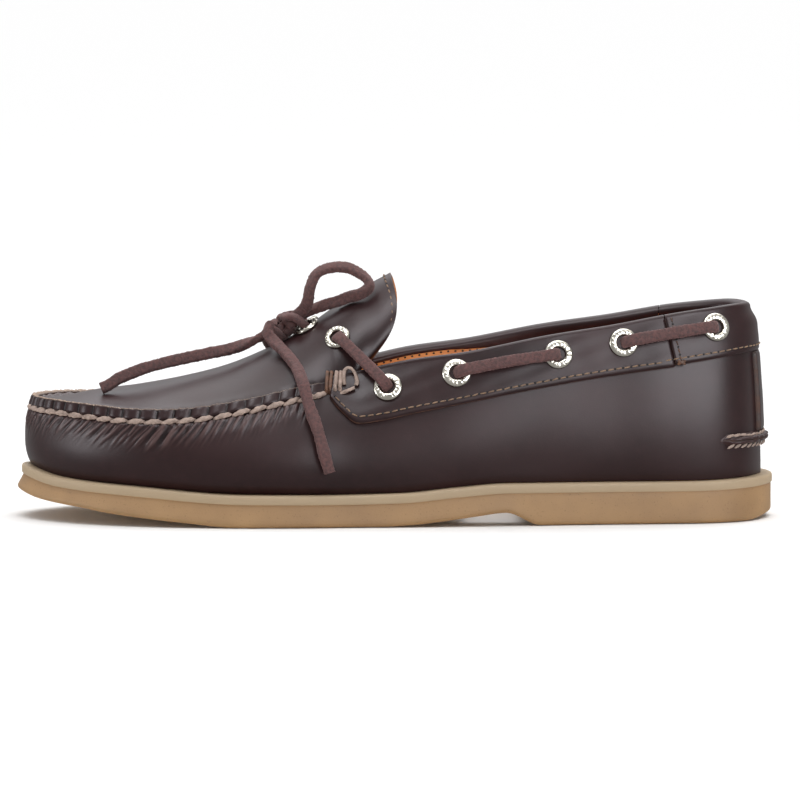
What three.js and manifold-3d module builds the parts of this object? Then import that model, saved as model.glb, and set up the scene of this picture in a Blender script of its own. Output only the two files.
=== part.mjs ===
// Left boat shoe in hand-sewn moccasin leather on a siped rubber unit sole. Millimetres, +Z up.
// The toe points to -X, the heel to +X, the outer side of the foot is -Y. The floor is z = 0.
import * as THREE from 'three';
import { mergeVertices } from 'three/addons/utils/BufferGeometryUtils.js';
import Module from 'manifold-3d';

const wasm = await Module();
wasm.setup();

// Driving sizes of the sole
const soleLength = 298;
const ballWidth = 107;
const heelWidth = 74;
const toeSpring = 10.2;
const archHeight = 5;
const forefootEdge = 12.4; // height of the sole's top edge under the ball
const heelEdge = 16.3; // height of the top edge at the heel
const toeEdge = 20.4; // height of the top edge at the toe tip
const rimHeight = 3.4; // pale rim along the top of the sole's side
const rimStep = 0.5; // how far the rim stands proud
const edgeRound = 1.4;
const toeFlare = 2.2; // the side leans out towards the floor, most at the toe
const soleMargin = 4; // ledge between the sole's top edge and the leather

// Driving sizes of the upper
const toeHeight = 47.3; // top of the raised toe seam
const collarHeight = 85.4;
const tongueHeight = 96.1;
const wallThickness = 2;
const apronThickness = 1.8;
const apronDrop = 2.2; // the toe seam stands this much above the apron's edge
const seamHeight = 4.7; // leather above the toe seam's stitches
const seamStep = 0.8; // the gathered leather above the stitches is thicker
const bandThickness = 1.6;
const heelSeamHeight = 4.2;
const heelSeamProud = 2.6;
const insoleThickness = 3;
const insoleMargin = 0.5;
const clearance = 0.3;
const finger = 0.4; // gap between the edges of two overlays

// Eyelets and lace
const eyeletDiameter = 11.3;
const tongueEyeletDiameter = 10.3;
const eyeletHole = 5.6;
const eyeletRim = 0.7; // wall of the eyelet's barrel
const eyeletHeight = 1.2;
const laceWidth = 4.4;
const laceThickness = 3;

// Leather, rubber and metal
const leather = new THREE.MeshStandardMaterial({ color: 0x432a2e, roughness: 0.32 });
const rubber = new THREE.MeshStandardMaterial({ color: 0xb08d64, roughness: 0.7 });
const lining = new THREE.MeshStandardMaterial({ color: 0xbe7a3c, roughness: 0.8 });
const nickel = new THREE.MeshStandardMaterial({ color: 0xd0cdc4, roughness: 0.3, metalness: 1 });
const suede = new THREE.MeshStandardMaterial({ color: 0x60403e, roughness: 0.85 });

// Sections from the heel's back to the toe's tip. sole: place of the section on the sole's edge,
// as a share of its length from the middle. outer and inner: half widths of the sole, as shares of
// the ball's or heel's width. top, topOuter, topInner: the same for the upper's top edge. rise: its
// height from the toe seam (0) to the collar (1). belly: how far the wall swells, over ball width.
const sections = [
  { sole: 0.5, outer: 0, inner: 0, top: 0.473, topOuter: 0, topInner: 0, rise: 0.995, belly: 0 },
  { sole: 0.49, outer: 0.19, inner: 0.19, top: 0.466, topOuter: 0.113, topInner: 0.113, rise: 1, belly: 0.006 },
  { sole: 0.464, outer: 0.35, inner: 0.35, top: 0.448, topOuter: 0.2, topInner: 0.2, rise: 0.998, belly: 0.016 },
  { sole: 0.42, outer: 0.452, inner: 0.446, top: 0.416, topOuter: 0.277, topInner: 0.27, rise: 0.965, belly: 0.023 },
  { sole: 0.362, outer: 0.493, inner: 0.48, top: 0.359, topOuter: 0.35, topInner: 0.342, rise: 0.898, belly: 0.027 },
  { sole: 0.286, outer: 0.504, inner: 0.468, top: 0.285, topOuter: 0.376, topInner: 0.362, rise: 0.785, belly: 0.024 },
  { sole: 0.2, outer: 0.497, inner: 0.43, top: 0.196, topOuter: 0.376, topInner: 0.363, rise: 0.67, belly: 0.024 },
  { sole: 0.107, outer: 0.483, inner: 0.395, top: 0.1, topOuter: 0.357, topInner: 0.344, rise: 0.512, belly: 0.028 },
  { sole: 0.018, outer: 0.472, inner: 0.393, top: 0.02, topOuter: 0.329, topInner: 0.319, rise: 0.412, belly: 0.032 },
  { sole: -0.06, outer: 0.479, inner: 0.42, top: -0.052, topOuter: 0.309, topInner: 0.309, rise: 0.272, belly: 0.037 },
  { sole: -0.134, outer: 0.498, inner: 0.467, top: -0.12, topOuter: 0.346, topInner: 0.341, rise: 0.168, belly: 0.045 },
  { sole: -0.208, outer: 0.499, inner: 0.495, top: -0.195, topOuter: 0.388, topInner: 0.386, rise: 0.044, belly: 0.046 },
  { sole: -0.282, outer: 0.474, inner: 0.489, top: -0.268, topOuter: 0.398, topInner: 0.406, rise: -0.042, belly: 0.042 },
  { sole: -0.349, outer: 0.425, inner: 0.453, top: -0.337, topOuter: 0.37, topInner: 0.392, rise: -0.055, belly: 0.034 },
  { sole: -0.409, outer: 0.346, inner: 0.383, top: -0.394, topOuter: 0.296, topInner: 0.332, rise: -0.03, belly: 0.029 },
  { sole: -0.456, outer: 0.238, inner: 0.28, top: -0.438, topOuter: 0.202, topInner: 0.24, rise: -0.008, belly: 0.026 },
  { sole: -0.4865, outer: 0.117, inner: 0.164, top: -0.466, topOuter: 0.098, topInner: 0.144, rise: 0, belly: 0.03 },
  { sole: -0.5, outer: -0.023, inner: 0.023, top: -0.477, topOuter: -0.023, topInner: 0.023, rise: 0, belly: 0.03 },
];
const heelShare = 0.36; // widths follow the heel's width behind here
const ballShare = -0.05; // and the ball's width ahead of here
const stepsPerSection = 3;
const wallRows = 4;
const wallLean = 1.6;
const bellySkew = 0.75;

// Height of the sole's bottom and of its top edge: along is a share of the length from the middle.
const bottomRows = [
  { along: -0.5, height: toeSpring },
  { along: -0.47, height: 0.8 * toeSpring },
  { along: -0.414, height: 0.61 * toeSpring },
  { along: -0.374, height: 0.44 * toeSpring },
  { along: -0.335, height: 0.32 * toeSpring },
  { along: -0.268, height: 0.14 * toeSpring },
  { along: -0.21, height: 0 },
  { along: -0.02, height: 0 },
  { along: 0.027, height: 0.14 * archHeight },
  { along: 0.067, height: 0.4 * archHeight },
  { along: 0.107, height: 0.72 * archHeight },
  { along: 0.148, height: archHeight },
  { along: 0.193, height: 0 },
  { along: 0.468, height: 0 },
  { along: 0.5, height: 0.36 * archHeight },
];
const topRows = [
  { along: -0.5, height: toeEdge },
  { along: -0.45, height: 0.85 * toeEdge },
  { along: -0.335, height: 0.74 * toeEdge },
  { along: -0.2, height: 1.016 * forefootEdge },
  { along: -0.08, height: forefootEdge },
  { along: 0.01, height: 1.04 * forefootEdge },
  { along: 0.087, height: 0.92 * heelEdge },
  { along: 0.15, height: heelEdge },
  { along: 0.38, height: heelEdge },
  { along: 0.5, height: 1.05 * heelEdge },
];

// The apron and tongue, from the toe back. section: which section of the wall its edge meets.
// centre: place of its middle line, rise: height of that line from toe seam (0) to tongue tip (1).
// round: 0 for a flat crown and 1 for a half pipe.
const apronRows = [
  { section: 17, centre: -0.4692, rise: -0.045, round: 0 },
  { section: 16, centre: -0.461, rise: -0.035, round: 0 },
  { section: 15, centre: -0.438, rise: -0.008, round: 0 },
  { section: 14, centre: -0.395, rise: 0.042, round: 0 },
  { section: 13, centre: -0.338, rise: 0.089, round: 0.02 },
  { section: 12, centre: -0.271, rise: 0.172, round: 0.05 },
  { section: 11, centre: -0.202, rise: 0.29, round: 0.1 },
  { section: 10, centre: -0.136, rise: 0.492, round: 0.3 },
  { section: 9.3, centre: -0.085, rise: 0.698, round: 0.65 },
];
// The tongue behind the sewn seam: edge is where its side edge lies along the length, half its half
// width over the ball's width, edgeRise the edge's height from the toe seam to the tongue's tip.
const tongueRows = [
  { centre: -0.044, rise: 0.872, edge: -0.041, half: 0.262, edgeRise: 0.262, round: 0.9 },
  { centre: -0.0054, rise: 1, edge: -0.03, half: 0.224, edgeRise: 0.322, round: 1 },
];
const tongueBow = 0.02; // the tongue's free edge swells back by this share of the length
const acrossApron = 10;

// Lower edges of the overlays: along and height as shares of the length and the collar's height
const bandLow = [
  { along: -0.09, height: 0.6 },
  { along: -0.068, height: 0.52 },
  { along: -0.044, height: 0.467 },
  { along: -0.017, height: 0.479 },
  { along: 0.023, height: 0.51 },
  { along: 0.087, height: 0.554 },
  { along: 0.168, height: 0.609 },
  { along: 0.272, height: 0.67 },
  { along: 0.38, height: 0.72 },
];
const heelBandLow = [
  { along: 0.34, height: 0.708 },
  { along: 0.42, height: 0.747 },
  { along: 0.461, height: 0.767 },
  { along: 0.49, height: 0.774 },
];
const bandFront = 9.44; // sections of the wall where the overlays start and end
const bandBack = 4.08;
const bandSlant = 0.2; // the joint between the bands runs this far back on its way down
const strapHalf = 0.93;
const strapLow = 0.402; // heights over the collar's height
const heelSeamLow = 0.346;
const heelSeamFront = 2.75;
const bandRows = 3;

// Eyelets: along over the length, height over the collar's height, and on the tongue the row of the
// apron's tables and the share of the way from the middle to the edge
const collarEyelets = [
  { along: -0.007, height: 0.62 },
  { along: 0.082, height: 0.687 },
  { along: 0.2148, height: 0.771 },
  { along: 0.3007, height: 0.822 },
  { along: 0.4205, height: 0.885 },
];
const tongueEyelets = [
  { row: 8.14, across: 0.58 },
  { row: 7.38, across: 0.15 },
];
const eyeletSides = 8;

// Lace: bars run over the leather from eyelet to eyelet, and the bow is tied over the tongue
const barLift = 3.1; // middle of a bar over an eyelet's flange
const barArch = 1.2; // and more than that half way along
const knotLength = 14;
const knotRadius = 4.3;
const knotPlace = [-43, -3, 75.2];
const knotTilt = 0.61; // radians
const sideEndRoute = [
  [-48.9, -9.6, 76.6], [-49.6, -12, 72.9], [-47.4, -14.6, 70], [-42.7, -22.2, 66.1], [-38.7, -29.4, 61.8],
  [-36.8, -34.9, 58.6], [-35.2, -40.3, 54.6], [-33, -44.6, 47.1], [-30.6, -47.9, 40.7], [-28.6, -50.3, 34.5],
  [-26.5, -52, 26.9], [-24.9, -52.1, 21.5],
];
const toeEndRoute = [
  [-51.2, -3, 71.2], [-57, -3.5, 68.6], [-64, -4.5, 66.2], [-72.6, -5.5, 64.5], [-81.2, -6.5, 62.8],
  [-90, -7.5, 60.9], [-98.4, -8.5, 58.7], [-104, -9, 56.6], [-108.7, -9.5, 54.6], [-112.4, -10, 52.2],
  [-115.4, -10.3, 50.9],
];
const backLoopRoute = [
  [-34.4, -5.6, 82.8], [-33.9, -9.6, 85.4], [-33, -12, 90.6], [-30.4, -11.8, 96.2], [-24.9, -11, 98.6],
  [-17.8, -10.5, 98.4], [-11.4, -11.5, 94.8], [-9.6, -13.4, 91.4], [-13, -14, 88.6], [-17.8, -11, 87],
  [-22.5, -8.7, 85.1], [-27.3, -5.2, 83.7], [-33.2, -0.4, 81.2],
];
const innerLoopRoute = [
  [-44.6, 2.1, 77], [-43.4, 9.6, 77.6], [-40.8, 17, 75], [-38, 24.4, 70.6], [-35.6, 31, 65],
  [-34.4, 36.6, 59.6], [-36.4, 41, 55.6], [-41.4, 41.6, 54.6], [-45.4, 37, 58.4], [-47.6, 30, 62.6],
  [-49.4, 21.6, 66.2], [-50.4, 13, 69], [-50, 5.4, 71.6],
];
const ringCount = 2 * (sections.length - 1);
const toeSection = sections.length - 1;

function clamp01(value) {
  return Math.min(1, Math.max(0, value));
}

function smooth(value) {
  const t = clamp01(value);
  return t * t * (3 - 2 * t);
}

function lerp(a, b, t) {
  return a + (b - a) * t;
}

function widthAt(share) {
  return lerp(ballWidth, heelWidth, smooth((share - ballShare) / (heelShare - ballShare)));
}

// Monotone cubic through a table, so that its flat stretches stay flat
function tableHeight(rows, share) {
  const last = rows.length - 1;
  const at = Math.min(Math.max(share, rows[0].along), rows[last].along);
  let i = 0;
  while (i < last - 1 && at > rows[i + 1].along) i += 1;
  const slope = (k) => (rows[k + 1].height - rows[k].height) / (rows[k + 1].along - rows[k].along);
  const tangent = (k) => {
    if (k === 0) return slope(0);
    if (k === last) return slope(last - 1);
    const [before, after] = [slope(k - 1), slope(k)];
    return before * after <= 0 ? 0 : (2 * before * after) / (before + after);
  };
  const width = rows[i + 1].along - rows[i].along;
  const t = (at - rows[i].along) / width;
  const h = [2 * t ** 3 - 3 * t ** 2 + 1, t ** 3 - 2 * t ** 2 + t, 3 * t ** 2 - 2 * t ** 3, t ** 3 - t ** 2];
  return h[0] * rows[i].height + h[1] * width * tangent(i) + h[2] * rows[i + 1].height + h[3] * width * tangent(i + 1);
}

function soleBottom(x) {
  return tableHeight(bottomRows, x / soleLength);
}

function soleTop(x) {
  return tableHeight(topRows, x / soleLength);
}

// The sections as two closed rings: outer side from heel to toe, then the inner side back
function ringPoint(index) {
  const i = ((index % ringCount) + ringCount) % ringCount;
  const isOuter = i <= toeSection;
  const row = sections[isOuter ? i : ringCount - i];
  const side = isOuter ? -1 : 1;
  return {
    x: row.sole * soleLength,
    y: side * (isOuter ? row.outer : row.inner) * widthAt(row.sole),
    topX: row.top * soleLength,
    topY: side * (isOuter ? row.topOuter : row.topInner) * widthAt(row.top),
    topZ: lerp(toeHeight, collarHeight, row.rise),
    belly: row.belly * ballWidth,
  };
}

const ring = Array.from({ length: ringCount }, (unused, i) => ringPoint(i));

// Catmull-Rom round the ring of sections
function onRing(key, q) {
  const i = Math.floor(q);
  const t = q - i;
  const [a, b, c, d] = [-1, 0, 1, 2].map((k) => ring[(((i + k) % ringCount) + ringCount) % ringCount][key]);
  return b + 0.5 * t * (c - a + t * (2 * a - 5 * b + 4 * c - d + t * (3 * (b - c) + d - a)));
}

function outward(q) {
  const h = 0.01;
  const dx = onRing('x', q + h) - onRing('x', q - h);
  const dy = onRing('y', q + h) - onRing('y', q - h);
  return new THREE.Vector2(-dy, dx).normalize();
}

function flareAt(x) {
  return toeFlare * clamp01(0.5 - x / soleLength);
}

// A point of the sole's edge, moved inwards
function soleEdge(q, inset) {
  const n = outward(q);
  return new THREE.Vector2(onRing('x', q) - n.x * inset, onRing('y', q) - n.y * inset);
}

function featherPoint(q, inset = 0) {
  return soleEdge(q, flareAt(onRing('x', q)) + soleMargin + inset);
}

function insoleEdge(q) {
  return featherPoint(q, wallThickness + insoleMargin);
}

function onSole(p, gap = 0) {
  return new THREE.Vector3(p.x, p.y, soleTop(p.x) + gap);
}

function wallBottom(q) {
  return soleTop(featherPoint(q).x) + clearance;
}

// The wall's outer face: v runs from the sole (0) to the top edge (1), evenly in height
function wallPoint(q, v) {
  const n = outward(q);
  const base = featherPoint(q);
  const lean = v ** wallLean;
  const swell = onRing('belly', q) * Math.sin(Math.PI * v ** bellySkew);
  return new THREE.Vector3(
    lerp(base.x, onRing('topX', q), lean) + n.x * swell,
    lerp(base.y, onRing('topY', q), lean) + n.y * swell,
    lerp(wallBottom(q), onRing('topZ', q), v),
  );
}

function wallNormal(q, v) {
  const h = 0.01;
  const low = Math.min(Math.max(v, h), 1 - h);
  const along = wallPoint(q + h, low).sub(wallPoint(q - h, low));
  const up = wallPoint(q, low + h).sub(wallPoint(q, low - h));
  return up.cross(along).normalize();
}

function wallOffset(q, v, offset) {
  return wallPoint(q, v).addScaledVector(wallNormal(q, v), offset);
}

function heightShare(q, z) {
  return (z - wallBottom(q)) / (onRing('topZ', q) - wallBottom(q));
}

function makeGeometry(points, faces) {
  const geometry = new THREE.BufferGeometry();
  const flat = faces.flatMap((face) => face.flatMap((i) => points[i].toArray()));
  geometry.setAttribute('position', new THREE.Float32BufferAttribute(flat, 3));
  const merged = mergeVertices(geometry, 1e-4);
  const index = merged.index.array;
  const kept = [];
  for (let i = 0; i < index.length; i += 3) {
    const [a, b, c] = [index[i], index[i + 1], index[i + 2]];
    if (a !== b && b !== c && c !== a) kept.push(a, b, c);
  }
  merged.setIndex(kept);
  merged.computeVertexNormals();
  return merged;
}

function solid(geometry) {
  const bare = new THREE.BufferGeometry();
  bare.setAttribute('position', geometry.attributes.position.clone());
  if (geometry.index) bare.setIndex(geometry.index.clone());
  const merged = mergeVertices(bare, 1e-4);
  const mesh = new wasm.Mesh({
    numProp: 3,
    vertProperties: Float32Array.from(merged.attributes.position.array),
    triVerts: Uint32Array.from(merged.index.array),
  });
  return new wasm.Manifold(mesh);
}

function geometryOf(manifold) {
  const mesh = manifold.getMesh();
  const geometry = new THREE.BufferGeometry();
  geometry.setAttribute('position', new THREE.BufferAttribute(Float32Array.from(mesh.vertProperties), 3));
  geometry.setIndex(new THREE.BufferAttribute(Uint32Array.from(mesh.triVerts), 1));
  geometry.computeVertexNormals();
  return geometry;
}

// A closed sheet: face(i, j, isOuter) gives the points of its two faces, and rims join them
function sheet(columns, rows, face, isRing = false) {
  const points = [];
  const at = (i, j, k) => (k * columns + (isRing ? i % columns : i)) * rows + j;
  for (const isOuter of [true, false]) {
    for (let i = 0; i < columns; i += 1) {
      for (let j = 0; j < rows; j += 1) points.push(face(i, j, isOuter));
    }
  }
  const faces = [];
  const quad = (a, b, c, d) => faces.push([a, c, b], [a, d, c]);
  const spans = isRing ? columns : columns - 1;
  for (let i = 0; i < spans; i += 1) {
    for (let j = 0; j < rows - 1; j += 1) {
      quad(at(i, j, 0), at(i + 1, j, 0), at(i + 1, j + 1, 0), at(i, j + 1, 0));
      quad(at(i, j, 1), at(i, j + 1, 1), at(i + 1, j + 1, 1), at(i + 1, j, 1));
    }
    quad(at(i, 0, 0), at(i, 0, 1), at(i + 1, 0, 1), at(i + 1, 0, 0));
    quad(at(i, rows - 1, 0), at(i + 1, rows - 1, 0), at(i + 1, rows - 1, 1), at(i, rows - 1, 1));
  }
  if (!isRing) {
    const end = columns - 1;
    for (let j = 0; j < rows - 1; j += 1) {
      quad(at(0, j, 0), at(0, j + 1, 0), at(0, j + 1, 1), at(0, j, 1));
      quad(at(end, j, 0), at(end, j, 1), at(end, j + 1, 1), at(end, j + 1, 0));
    }
  }
  return makeGeometry(points, faces);
}

// Sole: side rings between a bottom and a top that are laid as strips from side to side
function makeOutsole() {
  const count = ringCount * stepsPerSection;
  const rings = [];
  for (let i = 0; i < count; i += 1) {
    const q = i / stepsPerSection;
    const x = onRing('x', q);
    const flare = flareAt(x);
    const [low, high] = [soleBottom(x), soleTop(x)];
    const profile = [
      [edgeRound, low],
      [0, low + edgeRound],
      [flare, high - rimHeight - rimStep],
      [flare - rimStep, high - rimHeight],
      [flare - rimStep, high - rimStep],
      [flare, high],
    ];
    const side = profile.map(([inset, z]) => {
      const p = soleEdge(q, inset);
      return new THREE.Vector3(p.x, p.y, z);
    });
    rings.push([...side, onSole(featherPoint(q)), onSole(insoleEdge(q))]);
  }
  const levels = rings[0].length;
  const points = rings.flat();
  const at = (i, j) => ((i + count) % count) * levels + j;
  const faces = [];
  const quad = (a, b, c, d) => faces.push([a, c, b], [a, d, c]);
  for (let i = 0; i < count; i += 1) {
    for (let j = 0; j < levels - 1; j += 1) quad(at(i, j), at(i + 1, j), at(i + 1, j + 1), at(i, j + 1));
  }
  const toe = count / 2;
  for (let i = 0; i < toe; i += 1) {
    quad(at(i, 0), at(-i, 0), at(-i - 1, 0), at(i + 1, 0));
    quad(at(i, levels - 1), at(i + 1, levels - 1), at(-i - 1, levels - 1), at(-i, levels - 1));
  }
  return makeGeometry(points, faces);
}

// Insole: a pad inside the wall, on the sole
function makeInsole() {
  const count = ringCount * stepsPerSection;
  const points = [];
  for (let i = 0; i < count; i += 1) {
    const p = insoleEdge(i / stepsPerSection);
    points.push(onSole(p, clearance), onSole(p, clearance + insoleThickness));
  }
  const at = (i, j) => ((i + count) % count) * 2 + j;
  const faces = [];
  const quad = (a, b, c, d) => faces.push([a, c, b], [a, d, c]);
  for (let i = 0; i < count; i += 1) quad(at(i, 0), at(i + 1, 0), at(i + 1, 1), at(i, 1));
  for (let i = 0; i < count / 2; i += 1) {
    quad(at(i, 0), at(-i, 0), at(-i - 1, 0), at(i + 1, 0));
    quad(at(i, 1), at(i + 1, 1), at(-i - 1, 1), at(-i, 1));
  }
  return makeGeometry(points, faces);
}

// How much of the toe seam's step is there: full at the toe, none beside the tongue
function seamFade(q) {
  const fromToe = Math.abs(q - toeSection);
  return smooth((toeSection - 9.8 - fromToe) / 0.8);
}

function makeUpper() {
  const count = ringCount * stepsPerSection;
  const rows = wallRows + 3;
  const face = (i, j, isOuter) => {
    const q = i / stepsPerSection;
    const stitch = heightShare(q, onRing('topZ', q) - seamHeight);
    const level = [stitch * Math.min(j / wallRows, 1), stitch + 0.03, 1][Math.max(0, j - wallRows)];
    const step = j > wallRows ? seamStep * seamFade(q) : 0;
    return wallOffset(q, level, isOuter ? step : -wallThickness);
  };
  return sheet(count, rows, face, true);
}

// Edge and middle of the apron and tongue at row u of its tables
function apronRow(k) {
  if (k >= apronRows.length) {
    const row = tongueRows[k - apronRows.length];
    const z = lerp(toeHeight, tongueHeight, row.edgeRise);
    const edge = (side) => new THREE.Vector3(row.edge * soleLength, side * row.half * ballWidth, z);
    return { edges: [edge(-1), edge(1)], row };
  }
  const row = apronRows[k];
  const edge = (q) => {
    const p = wallOffset(q, 1, -wallThickness - clearance);
    return p.setZ(p.z - apronDrop);
  };
  return { edges: [edge(row.section), edge(ringCount - row.section)], row };
}

function splineAt(values, u) {
  const last = values.length - 1;
  const i = Math.min(Math.floor(u), last - 1);
  const t = u - i;
  const [a, b, c, d] = [i - 1, i, i + 1, i + 2].map((k) => values[Math.min(Math.max(k, 0), last)]);
  return b + 0.5 * t * (c - a + t * (2 * a - 5 * b + 4 * c - d + t * (3 * (b - c) + d - a)));
}

const apronTable = Array.from({ length: apronRows.length + tongueRows.length }, (unused, k) => apronRow(k));
const apronLast = apronTable.length - 1;

// The apron's outer face: u runs from the toe to the tongue's tip, w from the outer to the inner side
function apronPoint(u, w) {
  const column = (pick) => splineAt(apronTable.map(pick), u);
  const isSewn = u <= apronRows.length - 1;
  const side = w < 0 ? 0 : 1;
  let edge = new THREE.Vector3(
    column((r) => r.edges[side].x),
    column((r) => r.edges[side].y),
    column((r) => r.edges[side].z),
  );
  if (isSewn) {
    const section = splineAt(apronRows.map((r) => r.section), u);
    edge = wallOffset(side === 0 ? section : ringCount - section, 1, -wallThickness - clearance);
    edge.z -= apronDrop;
  }
  const middle = {
    x: column((r) => r.row.centre) * soleLength,
    y: 0.5 * (column((r) => r.edges[0].y) + column((r) => r.edges[1].y)),
    z: lerp(toeHeight, tongueHeight, column((r) => r.row.rise)),
  };
  const round = column((r) => r.row.round);
  const s = Math.abs(w);
  const across = lerp(s, Math.sin(s * Math.PI / 2), round);
  const drop = lerp(s * s, 1 - Math.cos(s * Math.PI / 2), round);
  const bow = tongueBow * soleLength * Math.sin(Math.PI * drop) * smooth((u - apronRows.length + 1) / 2);
  return new THREE.Vector3(
    lerp(middle.x, edge.x, drop) + bow,
    lerp(middle.y, edge.y, across),
    lerp(middle.z, edge.z, drop),
  );
}

function apronNormal(u, w) {
  const h = 0.02;
  const at = Math.min(Math.max(u, h), apronLast - h);
  const c = Math.min(Math.max(w, h - 1), 1 - h);
  const along = apronPoint(at + h, c).sub(apronPoint(at - h, c));
  const across = apronPoint(at, c + h).sub(apronPoint(at, c - h));
  return along.cross(across).normalize();
}

function makeApron() {
  const perRow = 3;
  const columns = apronLast * perRow + 1;
  const face = (i, j, isOuter) => {
    const u = i / perRow;
    const w = 1 - (2 * j) / acrossApron;
    if (i === 0) {
      const tip = apronPoint(0, 0);
      return isOuter ? tip : tip.setZ(tip.z - apronThickness);
    }
    const point = apronPoint(u, w);
    const n = apronNormal(u, w);
    if (Math.abs(w) === 1 && u < apronRows.length - 1) n.set(0, 0, 1);
    return isOuter ? point : point.addScaledVector(n, -apronThickness);
  };
  return sheet(columns, acrossApron + 1, face);
}

// A patch laid on the wall between two heights, from one section of the ring to another
function overlay(front, back, low, high, slant, inner, outer) {
  const edges = [front];
  for (let i = Math.floor(front * stepsPerSection) + 1; i < back * stepsPerSection; i += 1) {
    const q = i / stepsPerSection;
    if (q - front > 0.1 && back - q > 0.1) edges.push(q);
  }
  edges.push(back);
  const face = (i, j, isOuter) => {
    const t = j / bandRows;
    const ends = [edges[0], edges[edges.length - 1]];
    const lean = (1 - t) * (i === 0 ? slant[0] : i === edges.length - 1 ? slant[1] : 0);
    const q = Math.min(Math.max(edges[i] + lean, ends[0] - 1), ends[1] + 1);
    const x = wallPoint(q, 0.8).x;
    const v = lerp(heightShare(q, low(x)), high ? heightShare(q, high(x)) : 1, t);
    return wallOffset(q, v, isOuter ? outer : inner);
  };
  return sheet(edges.length, bandRows + 1, face);
}

function bandEdge(rows) {
  return (x) => collarHeight * tableHeight(rows, x / soleLength);
}

// The ring runs from the heel forward on the outer side and back on the inner side
function makeCollarBand(isOuter) {
  const top = clearance + bandThickness;
  const [back, front] = [bandBack, bandFront];
  const low = bandEdge(bandLow);
  if (isOuter) return overlay(back, front, low, null, [-bandSlant, 0], clearance, top);
  return overlay(ringCount - front, ringCount - back, low, null, [0, bandSlant], clearance, top);
}

function makeHeelBand() {
  const end = bandBack - finger / bandPitch;
  const top = clearance + bandThickness;
  return overlay(-end, end, bandEdge(heelBandLow), null, [bandSlant, -bandSlant], clearance, top);
}

// Length of the collar that one section covers beside the heel
const bandPitch = (sections[4].top - sections[5].top) * soleLength;

function makeBackStrap() {
  const low = () => strapLow * collarHeight;
  const high = (x) => bandEdge(heelBandLow)(x) - finger;
  return overlay(-strapHalf, strapHalf, low, high, [0, 0], clearance, clearance + bandThickness);
}

function makeHeelSeam() {
  const low = () => heelSeamLow * collarHeight;
  const high = () => heelSeamLow * collarHeight + heelSeamHeight;
  return overlay(-heelSeamFront, heelSeamFront, low, high, [0, 0], clearance, clearance + heelSeamProud);
}

// Where an eyelet sits: its middle on the leather's outer face and the way it faces
function collarSpot({ along, height }, isOuter) {
  const z = height * collarHeight;
  let [low, high] = [2, 10];
  const place = (q) => {
    const at = isOuter ? q : ringCount - q;
    return { at, v: heightShare(at, z) };
  };
  for (let i = 0; i < 30; i += 1) {
    const middle = (low + high) / 2;
    const { at, v } = place(middle);
    if (wallPoint(at, v).x > along * soleLength) low = middle;
    else high = middle;
  }
  const { at, v } = place(low);
  const normal = wallNormal(at, v);
  return { point: wallPoint(at, v).addScaledVector(normal, clearance + bandThickness), normal };
}

function tongueSpot({ row, across }, isOuter) {
  const w = isOuter ? -across : across;
  return { point: apronPoint(row, w), normal: apronNormal(row, w) };
}

// Eyelet: a flanged ring with a barrel that runs through the leather
function makeEyelet(spot, diameter, depth) {
  const hole = eyeletHole / 2;
  const barrel = hole + eyeletRim;
  const profile = [
    [hole, -depth],
    [barrel, -depth],
    [barrel, clearance],
    [diameter / 2, clearance],
    [diameter / 2 - eyeletRim, clearance + eyeletHeight],
    [hole, clearance + eyeletHeight - eyeletRim / 2],
    [hole, -depth],
  ];
  const lathe = new THREE.LatheGeometry(profile.map(([r, y]) => new THREE.Vector2(r, y)), eyeletSides);
  const turn = new THREE.Quaternion().setFromUnitVectors(new THREE.Vector3(0, 1, 0), spot.normal);
  return lathe.applyQuaternion(turn).translate(...spot.point.toArray());
}

function makeHoleCutter(spot) {
  const radius = eyeletHole / 2 + eyeletRim + clearance;
  const length = 4 * (wallThickness + bandThickness);
  const cutter = new THREE.CylinderGeometry(radius, radius, length, eyeletSides);
  const turn = new THREE.Quaternion().setFromUnitVectors(new THREE.Vector3(0, 1, 0), spot.normal);
  return solid(cutter.applyQuaternion(turn).translate(...spot.point.toArray()));
}

function withHoles(geometry, spots) {
  const cut = spots.reduce((rest, spot) => rest.subtract(makeHoleCutter(spot)), solid(geometry));
  return geometryOf(cut);
}

// A lace of oval section along a route
function makeLace(route, steps) {
  const section = new THREE.Shape();
  section.absellipse(0, 0, laceThickness / 2 + 0.2, laceThickness / 2 + 0.2, 0, 2 * Math.PI);
  const path = new THREE.CatmullRomCurve3(route.map((p) => (Array.isArray(p) ? new THREE.Vector3(...p) : p)));
  return new THREE.ExtrudeGeometry(section, { steps, extrudePath: path, curveSegments: 4, bevelEnabled: false });
}

function barEnd(spot, towards) {
  const side = towards.clone().sub(spot.point);
  side.addScaledVector(spot.normal, -side.dot(spot.normal)).normalize();
  const at = (lift, out) => spot.point.clone().addScaledVector(spot.normal, lift).addScaledVector(side, out);
  const top = clearance + eyeletHeight + barLift;
  return [at(-1, 0), at(0.45 * top, 0.1), at(0.85 * top, 1.4), at(top, eyeletDiameter / 2)];
}

function makeBar(from, to) {
  const start = barEnd(from, to.point);
  const end = barEnd(to, from.point).reverse();
  const lift = clearance + eyeletHeight + barLift + barArch;
  const normal = from.normal.clone().add(to.normal).normalize();
  const middle = from.point.clone().lerp(to.point, 0.5).addScaledVector(normal, lift);
  return makeLace([...start, middle, ...end], 9);
}

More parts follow.
